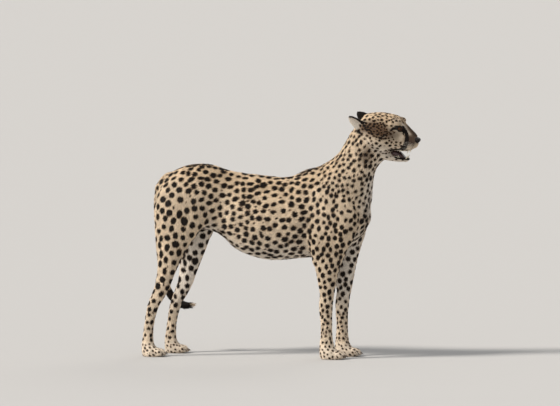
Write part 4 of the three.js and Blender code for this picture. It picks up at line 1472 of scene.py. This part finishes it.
tufts = {
    "perSquareMetre": {
        "trunk": 135000, "neck": 150000, "head": 420000, "jaw": 420000, "ear": 420000, "foreleg": 170000,
        "hindleg": 160000, "forepaw": 300000, "hindpaw": 300000, "tail": 170000,
    },
    "width": {  # millimetres
        "trunk": 2.7, "neck": 2.5, "head": 1.35, "jaw": 1.35, "ear": 1.3, "foreleg": 2.1,
        "hindleg": 2.3, "forepaw": 1.4, "hindpaw": 1.4, "tail": 2.6,
    },
    "faceFiner": 0.34,  # how much narrower and shorter they are on the face
    "patch": 0.003,  # of the unwrap that each tuft takes
    "overFloor": 0.0004,  # metres
    "corners": 8,  # of each
    "faceFrom": (-125, -85),  # X in the head's frame where the finer ones start, and where all are fine
    # millimetres kept bare round the eyes, along the lips and round the nose, and metres over the floor
    "bare": (2.2, 2.6, 1.5, 0.0035),
    "marksAhead": 0.45,  # how far along a tuft the place lies that says whether it is marked
    # name: its two tips, how far its middle and its tips stand up
    "shapes": {
        "tuftEven": (((0.94, -0.16), (1.0, 0.18)), 0.16, 0.20),
        "tuftParted": (((1.0, -0.34), (0.86, 0.26)), 0.10, 0.10),
        "tuftPointed": (((1.0, -0.02), (0.90, 0.10)), 0.20, 0.30),
        "tuftTurned": (((0.88, 0.10), (1.0, 0.42)), 0.14, 0.14),
    },
}


# A tuft one unit long, lying along X, like a low tent that rises from the skin and ends in two points.
def makeTuftShape(name, tips, arch, tipHeight):
    shape = bmesh.new()
    along = shape.verts.layers.float.new("along")
    patch = shape.loops.layers.uv.new("patch")
    row = [shape.verts.new((0, y, z)) for y, z in ((-0.36, -0.12), (0, 0.12), (0.36, -0.12))]
    edges = [shape.edges.new(pair) for pair in zip(row, row[1:])]
    grown = bmesh.ops.extrude_edge_only(shape, edges=edges)["geom"]
    middle = sorted((v for v in grown if isinstance(v, bmesh.types.BMVert)), key=lambda v: v.co.y)
    for vert, y, z in zip(middle, (-0.5, 0.02, 0.5), (0.0, 0.34, 0.0)):
        vert.co = (0.48, y, z + arch)
    for pair, (x, y) in zip(zip(middle, middle[1:]), tips):
        tip = shape.verts.new((x, y, tipHeight))
        shape.faces.new((*pair, tip))
    shape.normal_update()
    bmesh.ops.reverse_faces(shape, faces=[face for face in shape.faces if face.normal.z < 0])
    for vert in shape.verts:
        vert[along] = vert.co.x
    for face in shape.faces:
        for loop in face.loops:
            loop[patch].uv = (loop.vert.co.x, loop.vert.co.y + 0.5)
    tuft = bpy.data.objects.new(name, meshFrom(shape, name))
    scene.collection.objects.link(tuft)
    return tuft


tuftShapes = [makeTuftShape(name, *shape) for name, shape in tufts["shapes"].items()]


def named(tree, name, kind="FLOAT"):
    node = addNode(tree, "GeometryNodeInputNamedAttribute", {"Name": name}, data_type=kind)
    return node.outputs["Attribute"]


def chance(tree, low, high, seed):
    node = addNode(tree, "FunctionNodeRandomValue", {2: low, 3: high, "Seed": seed}, data_type="FLOAT")
    return node.outputs[1]


def stored(tree, geometry, name, value, **settings):
    inputs = {"Geometry": geometry, "Name": name, "Value": value}
    return addNode(tree, "GeometryNodeStoreNamedAttribute", inputs, **settings).outputs[0]


def vectorMath(tree, inputs, operation):
    return addNode(tree, "ShaderNodeVectorMath", inputs, operation=operation).outputs[0]


# Scatters tufts over a piece of skin along the lie of the hair, and lays each on its place in the unwrap.
def makeTuftTree():
    ends = [("Skin", "NodeSocketGeometry", None)], [("Tufts", "NodeSocketGeometry")]
    tree, given, result = newGroup("layTufts", "GeometryNodeTree", *ends)
    inputs = {"Mesh": given.outputs["Skin"], "Density": named(tree, "tuftDensity"), "Seed": 11}
    scatter = addNode(tree, "GeometryNodeDistributePointsOnFaces", inputs)
    inputs = {"Primary Axis": scatter.outputs["Normal"], "Secondary Axis": named(tree, "lie", "FLOAT_VECTOR")}
    facing = addNode(tree, "FunctionNodeAxesToRotation", inputs, primary_axis="Z", secondary_axis="X")
    lifted = sumOf(tree, named(tree, "lift"), chance(tree, -1.35, -0.55, 3), "MULTIPLY")
    inputs = {"X": chance(tree, -0.35, 0.35, 1), "Y": lifted, "Z": chance(tree, -0.30, 0.30, 2)}
    tilt = addNode(tree, "ShaderNodeCombineXYZ", inputs)
    tilt = addNode(tree, "FunctionNodeEulerToRotation", {0: tilt.outputs[0]})
    inputs = {"Rotation": facing.outputs[0], "Rotate By": tilt.outputs[0]}
    turned = addNode(tree, "FunctionNodeRotateRotation", inputs, rotation_space="LOCAL")
    long = sumOf(tree, named(tree, "tuftLength"), chance(tree, 0.75, 1.25, 4), "MULTIPLY")
    wide = sumOf(tree, named(tree, "tuftWidth"), chance(tree, 0.75, 1.25, 5), "MULTIPLY")
    size = addNode(tree, "ShaderNodeCombineXYZ", {"X": long, "Y": wide, "Z": wide})
    choices = addNode(tree, "GeometryNodeJoinGeometry")
    for tuft in reversed(tuftShapes):
        chosen = addNode(tree, "GeometryNodeObjectInfo", {"Object": tuft, "As Instance": True})
        tree.links.new(chosen.outputs["Geometry"], choices.inputs[0])
    position = addNode(tree, "GeometryNodeInputPosition").outputs[0]
    roots = stored(tree, scatter.outputs["Points"], "rootPlace", position, data_type="FLOAT_VECTOR")
    roots = stored(tree, roots, "tuftShade", chance(tree, 0.0, 1.0, 6))
    inputs = {4: 0, 5: len(tuftShapes) - 1, "Seed": 7}
    shape = addNode(tree, "FunctionNodeRandomValue", inputs, data_type="INT").outputs[2]
    inputs = {"Points": roots, "Instance": choices.outputs[0], "Pick Instance": True, "Instance Index": shape}
    inputs.update({"Rotation": turned.outputs[0], "Scale": size.outputs[0]})
    placed = addNode(tree, "GeometryNodeInstanceOnPoints", inputs)
    whole = addNode(tree, "GeometryNodeRealizeInstances", {"Geometry": placed.outputs[0]}).outputs[0]
    onPatch = vectorMath(tree, {0: named(tree, "patch", "FLOAT_VECTOR"), 1: (0.5, 0.5, 0)}, "SUBTRACT")
    onPatch = vectorMath(tree, {0: onPatch, "Scale": tufts["patch"]}, "SCALE")
    onUnwrap = vectorMath(tree, {0: onPatch, 1: named(tree, "rootUv", "FLOAT_VECTOR")}, "ADD")
    mapped = stored(tree, whole, "OFBake", onUnwrap, data_type="FLOAT2", domain="CORNER")
    tree.links.new(mapped, result.inputs["Tufts"])
    return tree


# The part of the skin whose vertices are chosen, with an unwrap of its own shape.
def skinPatch(name, chosen):
    shape = bmesh.new()
    shape.from_mesh(skinMesh)
    shape.verts.ensure_lookup_table()
    away = [face for face in shape.faces if not chosen[face.verts[0].index]]
    bmesh.ops.delete(shape, geom=away, context="FACES")
    patch = bpy.data.objects.new(name, meshFrom(shape, name))
    scene.collection.objects.link(patch)
    patch.data.uv_layers.new(name="rootUv")
    bpy.context.view_layer.objects.active = patch
    patch.select_set(True)
    bpy.ops.object.mode_set(mode="EDIT")
    bpy.ops.mesh.select_all(action="SELECT")
    bpy.ops.uv.smart_project(angle_limit=math.radians(66), island_margin=0.004)
    bpy.ops.object.mode_set(mode="OBJECT")
    return patch


# what a tuft no longer needs once it is laid
helperLayers = (
    "lie", "lift", "tuftLength", "tuftWidth", "tuftDensity", "rootPlace", "mouth", "spotEdge", "darkEdge",
    "patch", "rootUv",
)


def makeTufts(name, chosen, tree, paint):
    patch = skinPatch(name + "Patch", chosen)
    patch.modifiers.new("tufts", "NODES").node_group = tree
    mesh = finalMesh(patch)
    places = pointsOf(mesh)
    places[:, 2] = np.maximum(places[:, 2], tufts["overFloor"])
    setPoints(mesh, places)
    each = tufts["corners"]
    root = rowsOf(mesh.attributes["rootPlace"].data, "vector")[::each]
    nearest = np.array([skinVertexTree.find(point)[1] for point in root])
    ahead = (lie * (length * tufts["marksAhead"] / 1000)[:, None])[nearest]
    marks = marksAt(root, normals[nearest], part[nearest], madeSpots, ahead)
    for layer in helperLayers:
        if layer in mesh.attributes:
            mesh.attributes.remove(mesh.attributes[layer])
    for layer, values in zip(("spotEdge", "darkEdge"), marks):
        store(mesh, layer, np.repeat(values, each))
    print("coat:", name, len(root), "tufts,", trianglesOf(mesh), "triangles")
    addPiece(name, mesh, "coat", paint)
    return trianglesOf(mesh)


# How many tufts grow on a square metre at each point. None do in the mouth or on lids, lips, nose and soles.
def tuftDensity():
    local, mirrored = intoHead(points), mirroredHead(points)
    density = blended(partValues(part, tufts["perSquareMetre"]), edges, 8)
    density *= 1 + tufts["faceFiner"] * 1.9 * onFace
    lid, lip, leather, sole = tufts["bare"]
    bare = mouth > 0.3
    for name in eyes:
        rim, _, reach, ahead = fromLidEdge(local, name)
        bare |= (ahead > -4) & (reach < 30) & (rim < lid)
    for line in ("upperLip", "lowerLip"):
        bare |= (alongPath(mirrored, faceLines[line][0])[0] < lip) & isPart(part, "head", "jaw")
    bare |= np.linalg.norm((local - nose["centre"]) / (np.array(nose["radii"]) + leather), axis=1) < 1
    bare |= points[:, 2] < sole
    return density * ~bare


onFace = ease(intoHead(points)[:, 0], *tufts["faceFrom"]) * isPart(part, "head", "jaw")
finer = 1 - tufts["faceFiner"] * onFace
length *= 0.35 + 0.65 * finer
helpers = {
    "tuftDensity": tuftDensity(),
    "tuftLength": length / 1000,
    "tuftWidth": finer * blended(partValues(part, tufts["width"]), edges, 8) / 1000,
    "lift": np.radians(lift),
}
for name, values in helpers.items():
    store(skinMesh, name, values)
store(skinMesh, "lie", lie, "FLOAT_VECTOR")

skinVertexTree = treeOf(points)
head = isPart(part, "head", "jaw", "ear")
front = intoHead(points)[:, 0] > -118
leftSide = points[:, 1] > bodyMiddle
trunk = isPart(part, "trunk")
fore = points[:, 0] > -0.07
regions = {
    "coatFace": head & front,
    "coatCrown": head & ~front,
    "coatNeck": isPart(part, "neck"),
    "coatShoulderLeft": trunk & leftSide & fore,
    "coatShoulderRight": trunk & ~leftSide & fore,
    "coatFlankLeft": trunk & leftSide & ~fore,
    "coatFlankRight": trunk & ~leftSide & ~fore,
    "coatForelegLeft": isPart(part, "foreleg_left"),
    "coatForelegRight": isPart(part, "foreleg_right"),
    "coatHindlegLeft": isPart(part, "hindleg_left"),
    "coatHindlegRight": isPart(part, "hindleg_right"),
    "coatForepaws": isPart(part, "forepaw"),
    "coatHindpaws": isPart(part, "hindpaw"),
    "coatTail": isPart(part, "tail"),
}
tuftTree, tuftPaint = makeTuftTree(), coatMaterial("coatTufts", True)
made = sum(makeTufts(name, chosen, tuftTree, tuftPaint) for name, chosen in regions.items())
print("coat: all tufts,", made, "triangles")
for tuft in tuftShapes:
    bpy.data.objects.remove(tuft)
bpy.data.node_groups.remove(tuftTree)
for name in (*helpers, "lie"):
    skinMesh.attributes.remove(skinMesh.attributes[name])
